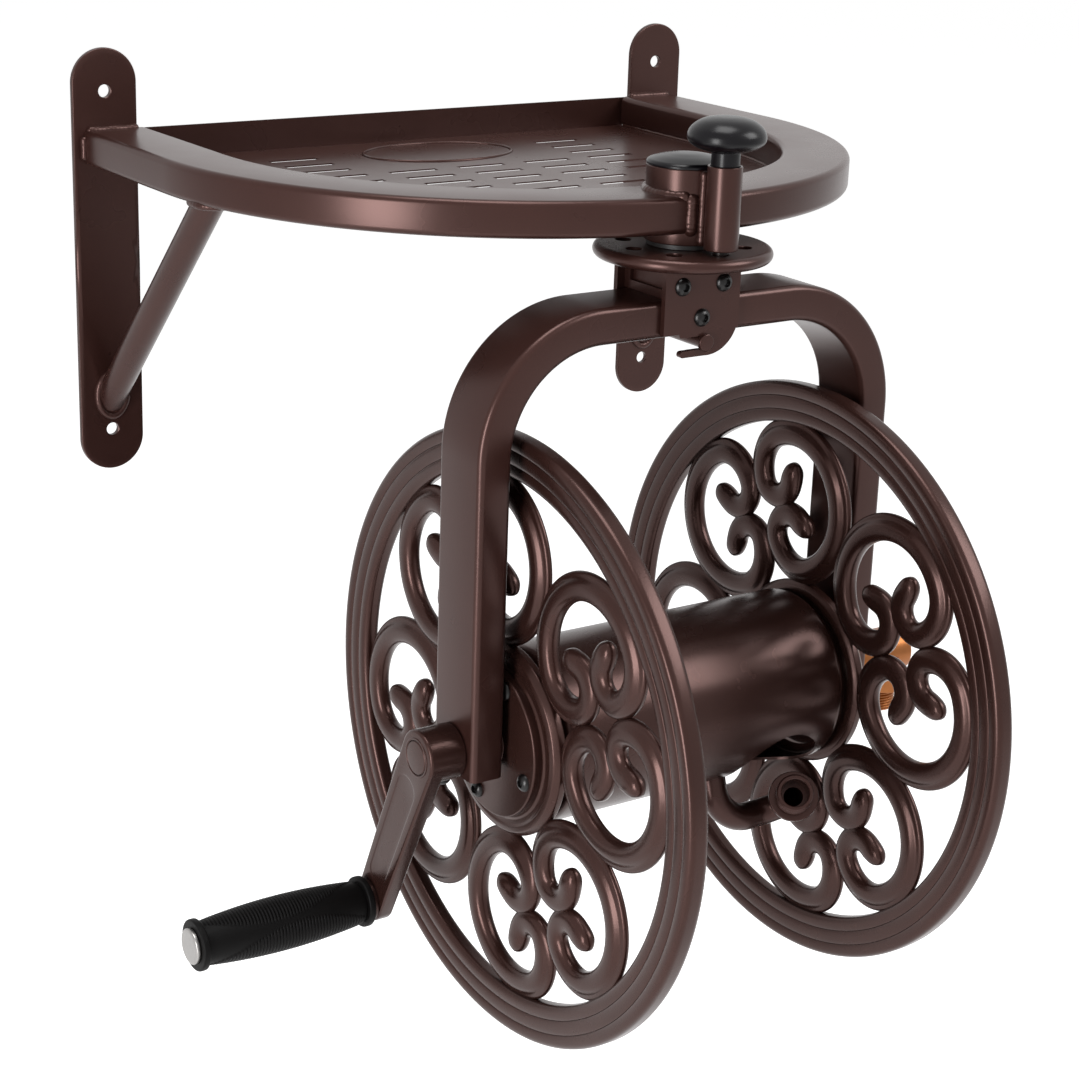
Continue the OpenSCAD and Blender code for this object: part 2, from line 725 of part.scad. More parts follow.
// Mushroom knob with the neck that slides in the lock tube
module lock_knob() {
    widest = knob_foot + knob_under;
    under = [for (s = knob_under_shares) [s[0] * knob_d / 2, widest - s[1] * knob_under]];
    dome = [for (s = knob_dome_shares) [s[0] * knob_d / 2, widest + s[1] * knob_dome]];
    color(black) at_lock(0) rotate_extrude()
        polygon(concat([[0, neck_foot], [neck_d / 2, neck_foot], [neck_d / 2, knob_foot]], under, dome));
}

// Thick disc with a rolled edge and a ring of index holes
module index_disc() {
    edge = arc_points([(disc_d - disc_t) / 2, disc_under + disc_t / 2], disc_t / 2, -90, 90, edge_steps);
    color(bronze) difference() {
        at_pivot(0) rotate_extrude() polygon(concat([[0, disc_under]], edge, [[0, disc_top]]));
        for (i = [0 : index_count - 1]) at_pivot(disc_under - overrun)
            rotate([0, 0, -90 + 360 * i / index_count]) translate([index_r, 0, 0])
                cylinder(r = pin_d / 2 + index_clear, h = disc_t + 2 * overrun);
    }
}

module pivot_shaft() {
    shoulder = upper_bush_top + end_play;
    color(steel) {
        at_pivot(disc_top) cylinder(d = shaft_d, h = shoulder - disc_top);
        at_pivot(shoulder) cylinder(d = shaft_thread_d, h = nut_room - end_play);
    }
}

module pivot_washer() {
    color(steel) at_pivot(upper_bush_top + end_play)
        ring(pivot_washer_d / 2, shaft_thread_d / 2 + seat_gap, pivot_washer_t);
}

module pivot_nut() {
    color(steel) at_pivot(upper_bush_top + end_play + pivot_washer_t) difference() {
        cylinder(d = pivot_nut_flats / cos(30), h = pivot_nut_h, $fn = 6);
        translate([0, 0, -overrun])
            cylinder(d = shaft_thread_d + 2 * seat_gap, h = pivot_nut_h + 2 * overrun);
    }
}

// Hook plate: square shoulders under the disc and a J-shaped hook that takes the bolt from the left
module hanger_plate(face) {
    skirt = yoke_under + hanger_lip;
    depth = hanger_t + 2 * overrun;
    top = disc_under - skirt;
    lip_z = bolt_z - (slot_gate + hook_t) / 2;
    lip_t = hook_t - 2 * seat_gap;
    color(bronze) translate([0, pivot_y + face * (plate_in + hanger_t / 2), 0]) rotate([90, 0, 0])
        translate([0, 0, -hanger_t / 2]) difference() {
            union() {
                translate([-hanger_w / 2 - hanger_shift, skirt, 0]) cube([hanger_w, top, hanger_t]);
                translate([hook_x, hook_z, 0]) cylinder(r = hook_back_r, h = hanger_t);
                translate([-lip_reach, lip_z - lip_t / 2, 0]) cube([lip_reach + hook_x, lip_t, hanger_t]);
                translate([-lip_reach, lip_z, 0]) cylinder(d = lip_t, h = hanger_t);
            }
            translate([-hanger_w, bolt_z - slot_gate / 2, -overrun]) cube([hanger_w, slot_gate, depth]);
            translate([0, bolt_z, -overrun]) cylinder(d = slot_gate, h = depth);
            for (place = hanger_screw_places) translate([place[0], place[1], -overrun])
                cylinder(d = screw_d + 2 * seat_gap, h = depth);
        }
}

// Block on top of the yoke that takes the upper hanger screws
module hanger_block() {
    pocket_w = yoke_w - 2 * pocket_border;
    color(dark_bronze) difference() {
        translate([-block_w / 2 - hanger_shift, pivot_y - yoke_w / 2, block_z])
            cube([block_w, yoke_w, block_h]);
        for (i = [0, 1]) translate([hanger_screw_places[i][0], pivot_y - yoke_w, hanger_screw_z])
            rotate([-90, 0, 0]) cylinder(d = screw_d + 2 * seat_gap, h = 2 * yoke_w);
        for (side = [-1, 1]) translate([side * block_w / 2 - hanger_shift - pocket_depth,
            pivot_y - pocket_w / 2, block_z + (block_h - pocket_h) / 2])
            cube([2 * pocket_depth, pocket_w, pocket_h]);
    }
}

module hanger_screws() {
    color(black) for (face = [-1, 1], place = hanger_screw_places)
        translate([place[0], pivot_y + face * (plate_in + hanger_t), place[1]])
            rotate([-90 * face, 0, 0]) screw(hanger_t + screw_bite);
}

// Bolt under the yoke that rests in both hooks
module hook_bolt() {
    half = plate_in + hanger_t;
    color(bronze) translate([0, pivot_y, bolt_z]) rotate([90, 0, 0]) {
        translate([0, 0, -half]) cylinder(d = hook_bolt_d, h = 2 * half);
        for (end = [-1, 1]) translate([0, 0, end * (half + hook_head_h / 2) - hook_head_h / 2])
            cylinder(d = hook_bolt_d + hook_head_h, h = hook_head_h);
    }
}

module yoke_section() {
    tube_section(yoke_t, yoke_w, yoke_corner, yoke_wall);
}

// Rectangular tube bent into an arch with two arms
module yoke() {
    color(bronze) difference() {
        translate([0, pivot_y, 0]) rotate([90, 0, 0]) {
            translate([-bend_x, yoke_z, 0]) rotate([0, 90, 0])
                linear_extrude(2 * bend_x) rotate([0, 0, 90]) yoke_section();
            for (side = [-1, 1]) sided(side) {
                translate([bend_x, bend_z, 0]) rotate_extrude(angle = 90)
                    translate([yoke_bend_r, 0]) yoke_section();
                translate([yoke_span / 2, arm_foot, 0]) rotate([-90, 0, 0])
                    linear_extrude(bend_z - arm_foot) yoke_section();
            }
        }
        on_axle() translate([0, 0, -arm_out - overrun])
            cylinder(d = axle_bush_d + 2 * seat_gap, h = 2 * (arm_out + overrun));
        translate([-hanger_shift, pivot_y - yoke_w, yoke_z]) rotate([-90, 0, 0])
            cylinder(d = screw_d + 2 * seat_gap, h = 2 * yoke_w);
    }
}

// Plug that closes the foot of an arm
module arm_plug(side) {
    inner_t = yoke_t - 2 * (yoke_wall + seat_gap);
    inner_w = yoke_w - 2 * (yoke_wall + seat_gap);
    color(bronze) translate([side * yoke_span / 2, pivot_y, arm_foot]) difference() {
        linear_extrude(plug_t) polygon(rounded_box(inner_t, inner_w, yoke_corner / 2));
        translate([0, 0, -overrun]) cylinder(d = screw_d + 2 * seat_gap, h = plug_t + 2 * overrun);
    }
}

// Flanged bush through an arm, with the flange towards the wheel
module axle_bush(side) {
    bore = axle_d / 2 + run_clear;
    face = arm_in - axle_flange_t - seat_gap;
    color(nylon) difference() {
        on_axle() sided_z(side) translate([0, 0, face]) {
            ring(axle_bush_d / 2, bore, arm_out - face);
            ring(axle_flange_d / 2, bore, axle_flange_t);
        }
        translate([side * yoke_span / 2, pivot_y, arm_foot - overrun])
            cylinder(d = screw_d + 2 * seat_gap, h = yoke_foot - axle_bush_d / 2 + bush_bite + overrun);
    }
}

module sided_z(side) {
    if (side > 0) children();
    else mirror([0, 0, 1]) children();
}

module bush_screws() {
    color(black) for (side = [-1, 1]) translate([side * yoke_span / 2, pivot_y, arm_foot])
        rotate([180, 0, 0]) screw(yoke_foot - axle_bush_d / 2 + bush_bite - seat_gap);
}

// Hollow axle: closed at the crank, open to the inlet, tapped for the outlet pipe
module axle() {
    color(steel) on_axle() difference() {
        translate([0, 0, -axle_near]) cylinder(d = axle_d, h = axle_far + axle_near);
        translate([0, 0, -wheel_in]) cylinder(d = axle_bore, h = wheel_in + axle_far + overrun);
        translate([0, 0, pipe_x]) rotate([0, 0, pipe_angle]) rotate([0, 90, 0])
            cylinder(d = axle_port_d, h = axle_d);
    }
}

module drum() {
    color(dark_bronze) difference() {
        on_axle() translate([0, 0, -wheel_in]) ring(drum_d / 2, drum_d / 2 - drum_wall, wheel_gap);
        on_axle() translate([0, 0, window_x]) rotate([0, 0, pipe_angle - pipe_turn]) rotate([0, 90, 0])
            cylinder(r = window_r, h = drum_d);
        on_axle() translate([0, 0, pipe_x]) rotate([0, 0, pipe_angle]) rotate([0, 90, 0])
            cylinder(d = pipe_d + 2 * end_play, h = drum_d);
    }
}

function bar_half() = scaled(bar_shares, scroll_w / 2, scroll_t / 2);
function bar_right() = concat(mirrored_y(reversed(bar_half())), bar_half());
function bar_section() = concat(bar_right(), [for (i = [1 : len(bar_shares) - 1])
    mirrored_x(reversed(bar_half()))[i]], [for (i = [0 : len(bar_shares) - 2])
    mirrored_x(mirrored_y(bar_half()))[i]]);

module bar_arc(center, r, from, sweep) {
    translate(center) rotate([0, 0, from]) rotate_extrude(angle = sweep) translate([r, 0])
        polygon(bar_section());
}

module bar_tip(center, from) {
    translate(center) rotate([0, 0, from]) rotate_extrude(angle = 180) polygon(bar_right());
}

// One C-shaped scroll: a long round back whose two ends turn in and hook
module scroll() {
    bar_arc([scroll_half_pitch, scroll_mid], scroll_r, -90, 180);
    for (half = [0, 1])
        translate([0, scroll_mid]) mirror([0, half, 0]) translate([0, -scroll_mid]) {
        bar_arc([scroll_half_pitch, scroll_turn_v], scroll_turn_r, 180, 90);
        bar_arc([scroll_hook_u, scroll_turn_v], scroll_hook_r, 0, 180);
        bar_tip([scroll_hook_u + scroll_hook_r, scroll_turn_v], 180);
    }
}

// Cast wheel: moulded rim, round hub and four pairs of scrolls between them
module wheel(side) {
    rim_face = [for (s = rim_shares) [rim_in + s[0] * rim_w, s[1] * rim_t / 2]];
    hub_face = scaled(hub_shares, hub_ring_r, rim_t / 2);
    color(dark_bronze) on_axle() translate([0, 0, side * wheel_mid]) difference() {
        union() {
            rotate_extrude() polygon(concat(rim_face, mirrored_y(reversed(rim_face))));
            rotate_extrude() polygon(concat([[0, -rim_t / 2]], mirrored_y(hub_face), reversed(hub_face),
                [[0, rim_t / 2]]));
            for (quarter = [0 : 3]) rotate([0, 0, 90 * quarter - 180 - wheel_phase])
                for (half = [0, 1]) mirror([half, 0, 0]) scroll();
        }
        translate([0, 0, -rim_t]) cylinder(d = axle_d + 2 * seat_gap, h = 2 * rim_t);
        hub_screw_ring(-rim_t, 2 * rim_t, screw_d / 2 + seat_gap);
    }
}

module hub_screw_ring(z, h, r) {
    for (turn = hub_screw_turns) rotate([0, 0, turn]) translate([hub_screw_r, 0, z]) cylinder(r = r, h = h);
}

// Flat plate screwed on the hub, with the boss that keeps the wheel off the arm
module hub_plate(side) {
    color(dark_bronze) on_axle() sided_z(side) difference() {
        union() {
            translate([0, 0, wheel_out]) cylinder(d = hub_plate_d, h = hub_plate_t);
            translate([0, 0, wheel_out]) cylinder(d = hub_boss_d, h = boss_end - wheel_out);
        }
        cylinder(d = axle_d + 2 * seat_gap, h = arm_in);
        hub_screw_ring(wheel_in, arm_in, screw_d / 2 + seat_gap);
    }
}

module hub_screws() {
    color(black) for (side = [-1, 1]) on_axle() sided_z(side)
        for (turn = hub_screw_turns) rotate([0, 0, turn])
            translate([hub_screw_r, 0, plate_out]) screw(hub_plate_t + rim_t - seat_gap);
}

// Sleeve on the axle with a bent pipe out through the drum and round to the fitting
module outlet_pipe() {
    color(dark_bronze) on_axle() translate([0, 0, pipe_x]) rotate([0, 0, pipe_angle]) {
        difference() {
            union() {
                translate([0, 0, -tee_l / 2]) cylinder(d = tee_d, h = tee_l);
                rotate([0, 90, 0]) cylinder(d = pipe_d, h = pipe_run);
            }
            translate([0, 0, -tee_l]) cylinder(d = axle_d + 2 * seat_gap, h = 2 * tee_l);
            rotate([0, 90, 0]) cylinder(d = pipe_bore, h = pipe_run + overrun);
        }
        translate([pipe_run, 0, pipe_bend_r]) rotate([90, 0, 0]) rotate([0, 0, 270])
            pipe_bend(pipe_bend_r, 90);
        translate([pipe_run + pipe_bend_r, 0, pipe_bend_r])
            ring(pipe_d / 2, pipe_bore / 2, pipe_link - seat_gap);
    }
}

module pipe_bend(bend_r, bend) {
    rotate_extrude(angle = bend) translate([bend_r, 0]) difference() {
        circle(d = pipe_d);
        circle(d = pipe_bore);
    }
}

// Elbow with a threaded hose end that looks forwards, up and back along the axle
module outlet_fitting() {
    mouth = [fitting_bend_r * (1 - cos(fitting_bend)), 0, fitting_bend_r * sin(fitting_bend)];
    color(dark_bronze) on_axle() translate([0, 0, pipe_x]) rotate([0, 0, pipe_angle])
        translate([pipe_run + pipe_bend_r, 0, pipe_bend_r + pipe_link]) rotate([0, 0, fitting_turn]) {
            translate([fitting_bend_r, 0, 0]) rotate([90, 0, 0]) rotate([0, 0, 180 - fitting_bend])
                pipe_bend(fitting_bend_r, fitting_bend);
            translate(mouth) rotate([0, fitting_bend, 0]) translate([0, 0, seat_gap]) {
                ring(fitting_collar_d / 2, pipe_bore / 2, fitting_collar_l);
                ring(thread_d / 2, thread_d / 2 - thread_wall, fitting_collar_l + thread_l);
            }
        }
}

// Flat tapered crank with a hub behind it, a sunk panel and a ring round the axle's end
module crank_arm() {
    panel_z = crank_out - crank_panel;
    tip_r = crank_tip_w / 2;
    color(bronze) on_axle() sided_z(-1) rotate([0, 0, crank_lean - 90]) difference() {
        union() {
            translate([0, 0, crank_bar_in]) hull() {
                cylinder(d = crank_hub_d, h = crank_t, $fn = 64);
                translate([crank_r, 0, 0]) cylinder(r = tip_r, h = crank_t, $fn = 64);
            }
            translate([0, 0, crank_in]) cylinder(d = crank_hub_d, h = crank_hub_l);
            translate([crank_r, 0, crank_out]) cylinder(d = grip_end_d, h = rod_collar_t);
        }
        translate([0, 0, panel_z]) hull() {
            translate([crank_hub_d, 0, 0]) cylinder(r = tip_r * panel_share, h = crank_t, $fn = 32);
            translate([crank_r - crank_hub_d, 0, 0]) cylinder(r = tip_r * panel_share, h = crank_t, $fn = 32);
        }
        translate([0, 0, panel_z]) ring(crank_ring_d / 2, crank_ring_d / 2 - crank_ring_w, crank_t);
        translate([0, 0, crank_in - overrun])
            cylinder(d = axle_d + 2 * seat_gap, h = crank_out - crank_cap - crank_in + overrun);
        translate([crank_r, 0, crank_bar_in - overrun]) cylinder(d = rod_d + 2 * seat_gap, h = 3 * crank_t);
        translate([0, 0, crank_in + crank_hub_l / 2]) rotate([0, 0, -crank_lean]) rotate([0, 90, 0])
            cylinder(d = screw_d + 2 * seat_gap, h = crank_hub_d);
    }
}

module crank_set_screw() {
    shank = (crank_hub_d - axle_d) / 2 - seat_gap;
    color(black) on_axle() sided_z(-1) rotate([0, 0, -90])
        translate([crank_hub_d / 2, 0, crank_in + crank_hub_l / 2]) rotate([0, 90, 0]) screw(shank);
}

// Rod fixed in the crank, with a riveted head that keeps the grip on
module handle_rod() {
    color(steel) translate([0, handle_y, handle_z]) rotate([0, -90, 0]) {
        translate([0, 0, crank_bar_in]) cylinder(d = rod_d, h = grip_out + end_play - crank_bar_in);
        translate([0, 0, grip_out + end_play]) cylinder(d = rod_head_d, h = rod_head_t);
    }
}

// Swollen ribbed sleeve that turns on the rod
module grip() {
    free = grip_l - 2 * grip_flange_l;
    pitch = free / grip_rings;
    swell = (grip_d - grip_end_d) / 2;
    bore = rod_d / 2 + run_clear;
    function body_r(z) = grip_end_d / 2 + swell * lookup(z / free, grip_swell_shares);
    rings = [for (i = [0 : grip_rings - 1], edge = [0, 1, 2, 3])
        let (z = pitch * (i + (edge < 2 ? 0 : ring_share)))
        [body_r(z) - (edge == 1 || edge == 2 ? 0 : ring_depth), grip_flange_l + z]];
    color(black) translate([0, handle_y, handle_z]) rotate([0, -90, 0]) translate([0, 0, grip_in])
        rotate_extrude() polygon(concat([[bore, 0]],
            [[grip_flange_d / 2 - ring_depth, 0], [grip_flange_d / 2, ring_depth]],
            [[grip_flange_d / 2, grip_flange_l - ring_depth], [grip_flange_d / 2 - ring_depth, grip_flange_l]],
            rings, [[grip_flange_d / 2 - ring_depth, grip_l - grip_flange_l]],
            [[grip_flange_d / 2, grip_l - grip_flange_l + ring_depth]],
            [[grip_flange_d / 2, grip_l - ring_depth], [grip_flange_d / 2 - ring_depth, grip_l]],
            [[bore, grip_l]]));
}

// Brass elbow that turns on the axle's open end, with a hose thread pointing down
module inlet_elbow() {
    bore = axle_d / 2 + run_clear;
    leg_bore = thread_d / 2 - thread_wall;
    leg_l = inlet_drop + inlet_hex_h;
    color(brass) on_axle() difference() {
        union() {
            translate([0, 0, inlet_in]) cylinder(d = inlet_d, h = inlet_l);
            translate([0, 0, inlet_leg_x]) rotate([90, 0, 0]) {
                cylinder(d = thread_d, h = leg_l);
                cylinder(d = inlet_d / cos(30), h = inlet_drop - thread_l + inlet_hex_h, $fn = 6);
            }
        }
        translate([0, 0, inlet_in - overrun]) cylinder(r = bore, h = axle_far + end_play - inlet_in + overrun);
        translate([0, 0, axle_far]) cylinder(r = axle_bore / 2, h = inlet_leg_x - axle_far);
        translate([0, 0, inlet_leg_x]) rotate([90, 0, 0]) cylinder(r = leg_bore, h = leg_l + overrun);
        translate([0, 0, ring_z]) cylinder(r = bore + ring_wire, h = ring_wire);
    }
}

module inlet_ring() {
    color(black) on_axle() translate([0, 0, ring_z + seat_gap])
        ring(axle_d / 2 + ring_wire, axle_d / 2 + run_clear, ring_wire - 2 * seat_gap);
}

wall_plate(-1);  // wall_plate_left
wall_plate(1);  // wall_plate_right
shelf_rail(-1);  // shelf_rail_left
shelf_rail(1);  // shelf_rail_right
shelf_tray();
strut(-1);  // strut_left
strut(1);  // strut_right
pivot_tube();
lock_tube();
weld_beads();
pivot_bush_lower();
pivot_bush_upper();
pivot_cap();
lock_guide();
lock_stop_ring();
lock_spring();
lock_pin();
lock_knob();
index_disc();
pivot_shaft();
pivot_washer();
pivot_nut();
hanger_plate(-1);  // hanger_plate_front
hanger_plate(1);  // hanger_plate_rear
hanger_block();
hanger_screws();
hook_bolt();
yoke();
arm_plug(-1);  // arm_plug_left
arm_plug(1);  // arm_plug_right
axle_bush(-1);  // axle_bush_left
axle_bush(1);  // axle_bush_right
bush_screws();
axle();
drum();
wheel(-1);  // wheel_left
wheel(1);  // wheel_right
hub_plate(-1);  // hub_plate_left
hub_plate(1);  // hub_plate_right
hub_screws();
outlet_pipe();
outlet_fitting();
crank_arm();
crank_set_screw();
handle_rod();
grip();
inlet_elbow();
inlet_ring();
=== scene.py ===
# %% [markdown]
# # A wall mounted hose reel, dressed for a product picture
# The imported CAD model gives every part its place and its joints. In this lesson each visible part is built
# again as a smooth surface from a formula, finished with a procedural material, and set in a white studio.

# %% Load the frame
import json
import math

import bmesh
import bpy
import numpy as np
from mathutils import Matrix, Vector


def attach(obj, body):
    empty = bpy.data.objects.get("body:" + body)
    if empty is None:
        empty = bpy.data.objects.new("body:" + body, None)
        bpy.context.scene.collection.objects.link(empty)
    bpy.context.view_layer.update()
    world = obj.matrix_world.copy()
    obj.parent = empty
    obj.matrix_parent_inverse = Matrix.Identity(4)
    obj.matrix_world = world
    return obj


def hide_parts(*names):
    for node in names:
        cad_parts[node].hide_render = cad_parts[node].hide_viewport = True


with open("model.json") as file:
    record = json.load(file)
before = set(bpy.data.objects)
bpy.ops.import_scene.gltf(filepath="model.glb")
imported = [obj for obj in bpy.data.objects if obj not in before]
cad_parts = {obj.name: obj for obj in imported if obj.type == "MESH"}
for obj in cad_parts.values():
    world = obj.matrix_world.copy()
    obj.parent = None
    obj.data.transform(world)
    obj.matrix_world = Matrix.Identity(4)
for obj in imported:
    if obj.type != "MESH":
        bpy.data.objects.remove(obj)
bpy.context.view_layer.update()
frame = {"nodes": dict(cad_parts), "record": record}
nodes = frame["nodes"]
MM = 0.001
TAU = 2 * math.pi

# %% [markdown]
# ## Colours and shader nodes
# A paint maker gives colours as hex codes, but a renderer adds light, so it needs linear numbers. One
# function turns a code into linear light, and another adds a shader node with its settings, so that each
# finish below can be read as a short list of nodes.

# %% Colour and node helpers
def hex_rgba(code):
    """Linear colour of a hex sRGB code: each channel is undone by the sRGB curve."""
    srgb = np.array([int(code[i:i + 2], 16) for i in (1, 3, 5)]) / 255
    linear = np.where(srgb <= 0.04045, srgb / 12.92, ((srgb + 0.055) / 1.055) ** 2.4)
    return (*linear.tolist(), 1.0)


def add_node(tree, kind, links=(), sockets=(), **settings):
    """A new shader node: links are (socket, source), sockets are (socket, value), settings go by name."""
    node = tree.nodes.new(kind)
    for name, value in settings.items():
        setattr(node, name, value)
    for socket, value in sockets:
        node.inputs[socket].default_value = value
    for socket, source in links:
        tree.links.new(source, node.inputs[socket])
    return node


def new_tree(owner):
    """The empty node tree of a material or a world."""
    owner.use_nodes = True
    owner.node_tree.nodes.clear()
    return owner.node_tree


# %% [markdown]
# ## The finishes
# Tube, plate and castings carry the same dark bronze powder coat: a brown lacquer with metal flake, so it is
# partly metallic and its highlights stay a warm mauve. Every finish here drifts a little in colour and gloss,
# as a real coat does, and has a fine grain. The flake itself is finer than a pixel, so it is left to the
# metallic share, and the grain is drawn as coarse as it needs to show.

# %% One recipe for every finish
GRAIN_IN_TINT, ROUGH_LESS, ROUGH_MORE, BUMP_SHARE = 0.12, 0.04, 0.05, 0.5


def mottled(name, light, dark, mottle_mm, grain_mm, grain_depth, rough, metal, gloss=0.5):
    """A finish whose colour drifts between two hex colours over mottle_mm, with a fine grain of grain_mm. The
    grain is also a bump of grain_depth in mm, and the roughness drifts with the colour."""
    finish = bpy.data.materials.new(name)
    tree = new_tree(finish)
    place = add_node(tree, "ShaderNodeTexCoord").outputs["Object"]
    drift = add_node(tree, "ShaderNodeTexNoise", [("Vector", place)],
                     [("Scale", 1 / (mottle_mm * MM)), ("Detail", 3.0)]).outputs["Fac"]
    grain = add_node(tree, "ShaderNodeTexNoise", [("Vector", place)],
                     [("Scale", 1 / (grain_mm * MM)), ("Detail", 2.0)]).outputs["Fac"]
    both = add_node(tree, "ShaderNodeMath", [(0, drift), (1, grain)], [(2, GRAIN_IN_TINT)],
                    operation="MULTIPLY_ADD")
    tint = add_node(tree, "ShaderNodeMix", [("Factor", both.outputs[0])],
                    [("A", hex_rgba(dark)), ("B", hex_rgba(light))], data_type="RGBA")
    spread = add_node(tree, "ShaderNodeMapRange", [("Value", drift)],
                      [("To Min", rough - ROUGH_LESS), ("To Max", rough + ROUGH_MORE)])
    bump = add_node(tree, "ShaderNodeBump", [("Height", grain)],
                    [("Strength", BUMP_SHARE), ("Distance", grain_depth * MM)])
    skin = add_node(tree, "ShaderNodeBsdfPrincipled",
                    [("Base Color", tint.outputs["Result"]), ("Roughness", spread.outputs["Result"]),
                     ("Normal", bump.outputs["Normal"])],
                    [("Metallic", metal), ("Specular IOR Level", gloss)])
    add_node(tree, "ShaderNodeOutputMaterial", [("Surface", skin.outputs["BSDF"])])
    return finish


# %% Finishes
FINISH_OF_SLOT = {
    # Powder flows out with a faint orange peel, which breaks up the long soft highlights on the tubes.
    "bronze_coat": mottled(
        "bronze powder coat on steel", "#442a25", "#37211d",
        mottle_mm=55, grain_mm=0.9, grain_depth=0.05, rough=0.28, metal=0.5, gloss=0.34),
    # On a sand casting the same coat is coarser and a little more metallic, so the scrolls glint.
    "cast_coat": mottled(
        "bronze powder coat on cast aluminium", "#422924", "#34201c",
        mottle_mm=38, grain_mm=1.3, grain_depth=0.08, rough=0.26, metal=0.55, gloss=0.34),
    # A polished mould leaves an even black with small clear highlights.
    "black_plastic": mottled(
        "moulded gloss black plastic", "#0e0b10", "#070608",
        mottle_mm=60, grain_mm=2.0, grain_depth=0.02, rough=0.27, metal=0.0, gloss=0.2),
    # Rubber soaks up light, and only its rings show.
    "grip_rubber": mottled(
        "moulded black rubber", "#080707", "#040303",
        mottle_mm=25, grain_mm=0.35, grain_depth=0.05, rough=0.5, metal=0.0, gloss=0.1),
    # Oxide leaves the screws black with a steel glint on the dome.
    "black_screw": mottled(
        "black oxide steel", "#161313", "#0c0b0b",
        mottle_mm=12, grain_mm=0.5, grain_depth=0.03, rough=0.28, metal=0.4),
    # Plating gives the rod's end a pale, slightly cloudy shine.
    "zinc_steel": mottled(
        "zinc plated steel", "#b0adab", "#8a8886",
        mottle_mm=5, grain_mm=0.5, grain_depth=0.03, rough=0.3, metal=1.0),
    # Brass that has been handled is a dull orange with darker clouds.
    "brass": mottled(
        "cast and turned brass", "#a2683d", "#7a4a29",
        mottle_mm=9, grain_mm=0.7, grain_depth=0.05, rough=0.3, metal=0.95),
    # Nylon and seal rubber are plain matt blacks deep in the joints.
    "nylon": mottled(
        "moulded black nylon", "#1a1717", "#121010",
        mottle_mm=20, grain_mm=0.6, grain_depth=0.02, rough=0.45, metal=0.0),
    "seal_rubber": mottled(
        "moulded seal rubber", "#161617", "#0e0e0f",
        mottle_mm=15, grain_mm=0.4, grain_depth=0.03, rough=0.6, metal=0.0)}
print("finishes:", len(FINISH_OF_SLOT))

# %% [markdown]
# ## From a grid of points to a piece
# Every new piece is a function of two parameters, worked out for a whole grid of points at once. The grid's
# neighbours become four-sided faces, the seams and poles are welded, and the piece rides the CAD body that it
# belongs to. Shapes are written in millimetres, as on a drawing, and become metres here.

# %% Grid helpers
WELD_MM = 0.004


def quad_corners(rows, cols, wrap_rows, wrap_cols):
    """Point numbers of the faces of a grid: each cell joins (i, j), (i+1, j), (i+1, j+1), (i, j+1)."""
    i, j = np.meshgrid(np.arange(rows if wrap_rows else rows - 1),
                       np.arange(cols if wrap_cols else cols - 1), indexing="ij")
    below, beside = (i + 1) % rows, (j + 1) % cols
    corners = [i * cols + j, below * cols + j, below * cols + beside, i * cols + beside]
    return np.stack(corners, -1).reshape(-1, 4)


def make_piece(name, sheets, slot, body, stands_for=(), crease=40):
    """One mesh from several grids (points in mm, wrap rows, wrap columns), welded and riding a body."""
    points, faces, first = [], [], 0
    for grid, wrap_rows, wrap_cols in sheets:
        points.append(grid.reshape(-1, 3))
        faces.append(first + quad_corners(grid.shape[0], grid.shape[1], wrap_rows, wrap_cols))
        first += grid.shape[0] * grid.shape[1]
    coords, quads = np.concatenate(points) * MM, np.concatenate(faces)
    mesh = bpy.data.meshes.new(name)
    mesh.vertices.add(len(coords))
    mesh.vertices.foreach_set("co", coords.ravel())
    mesh.loops.add(quads.size)
    mesh.loops.foreach_set("vertex_index", quads.ravel())
    mesh.polygons.add(len(quads))
    mesh.polygons.foreach_set("loop_start", np.arange(len(quads)) * 4)
    mesh.update(calc_edges=True)
    work = bmesh.new()
    work.from_mesh(mesh)
    bmesh.ops.remove_doubles(work, verts=work.verts, dist=WELD_MM * MM)
    bmesh.ops.recalc_face_normals(work, faces=work.faces)
    work.to_mesh(mesh)
    work.free()
    mesh.shade_smooth()
    mesh.set_sharp_from_angle(angle=math.radians(crease))
    mesh.materials.append(FINISH_OF_SLOT[slot])
    piece = bpy.data.objects.new(name.replace(" ", "_") + "_skin", mesh)
    bpy.context.scene.collection.objects.link(piece)
    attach(piece, body)
    if stands_for:
        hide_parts(*stands_for)
    print(f"{name}: {len(mesh.polygons)} faces")


# %% [markdown]
# ## The curved rails
# The top bracket is one flat tube bent into a half circle between the two wall plates. A tube bender keeps
# the section square to the bend, so the surface is a rounded rectangle carried along a line and an arc. At
# the front both halves stop in a curved cut against the upright pivot tube, and the cut is solved for each
# line of the section.

# %% Sections and lids
def stacked(*coordinates):
    """Points from their coordinates: arrays of any matching shapes, and plain numbers, side by side."""
    return np.stack(np.broadcast_arrays(*coordinates), -1)


def rounded_box(width, height, corner, steps=7):
    """A rectangle's outline with round corners: four quarter circles joined by straight sides."""
    angle = np.linspace(0, TAU / 4, steps)
    quarter = corner * stacked(np.cos(angle), np.sin(angle))
    turns = np.array([[[1, 0], [0, 1]], [[0, -1], [1, 0]], [[-1, 0], [0, -1]], [[0, 1], [-1, 0]]])
    centres = np.array([[1, 1], [-1, 1], [-1, -1], [1, -1]]) * (np.array([width, height]) / 2 - corner)
    return (np.einsum("kab,sb->ksa", turns, quarter) + centres[:, None]).reshape(-1, 2)


def lid(loop, centre=None):
    """A closed end: the loop drawn in straight lines to a centre, its own middle unless another is given."""
    centre = loop.mean(0) if centre is None else centre
    share = np.linspace(0, 1, 4)[:, None, None]
    return loop[None] * (1 - share) + np.asarray(centre) * share, False, True


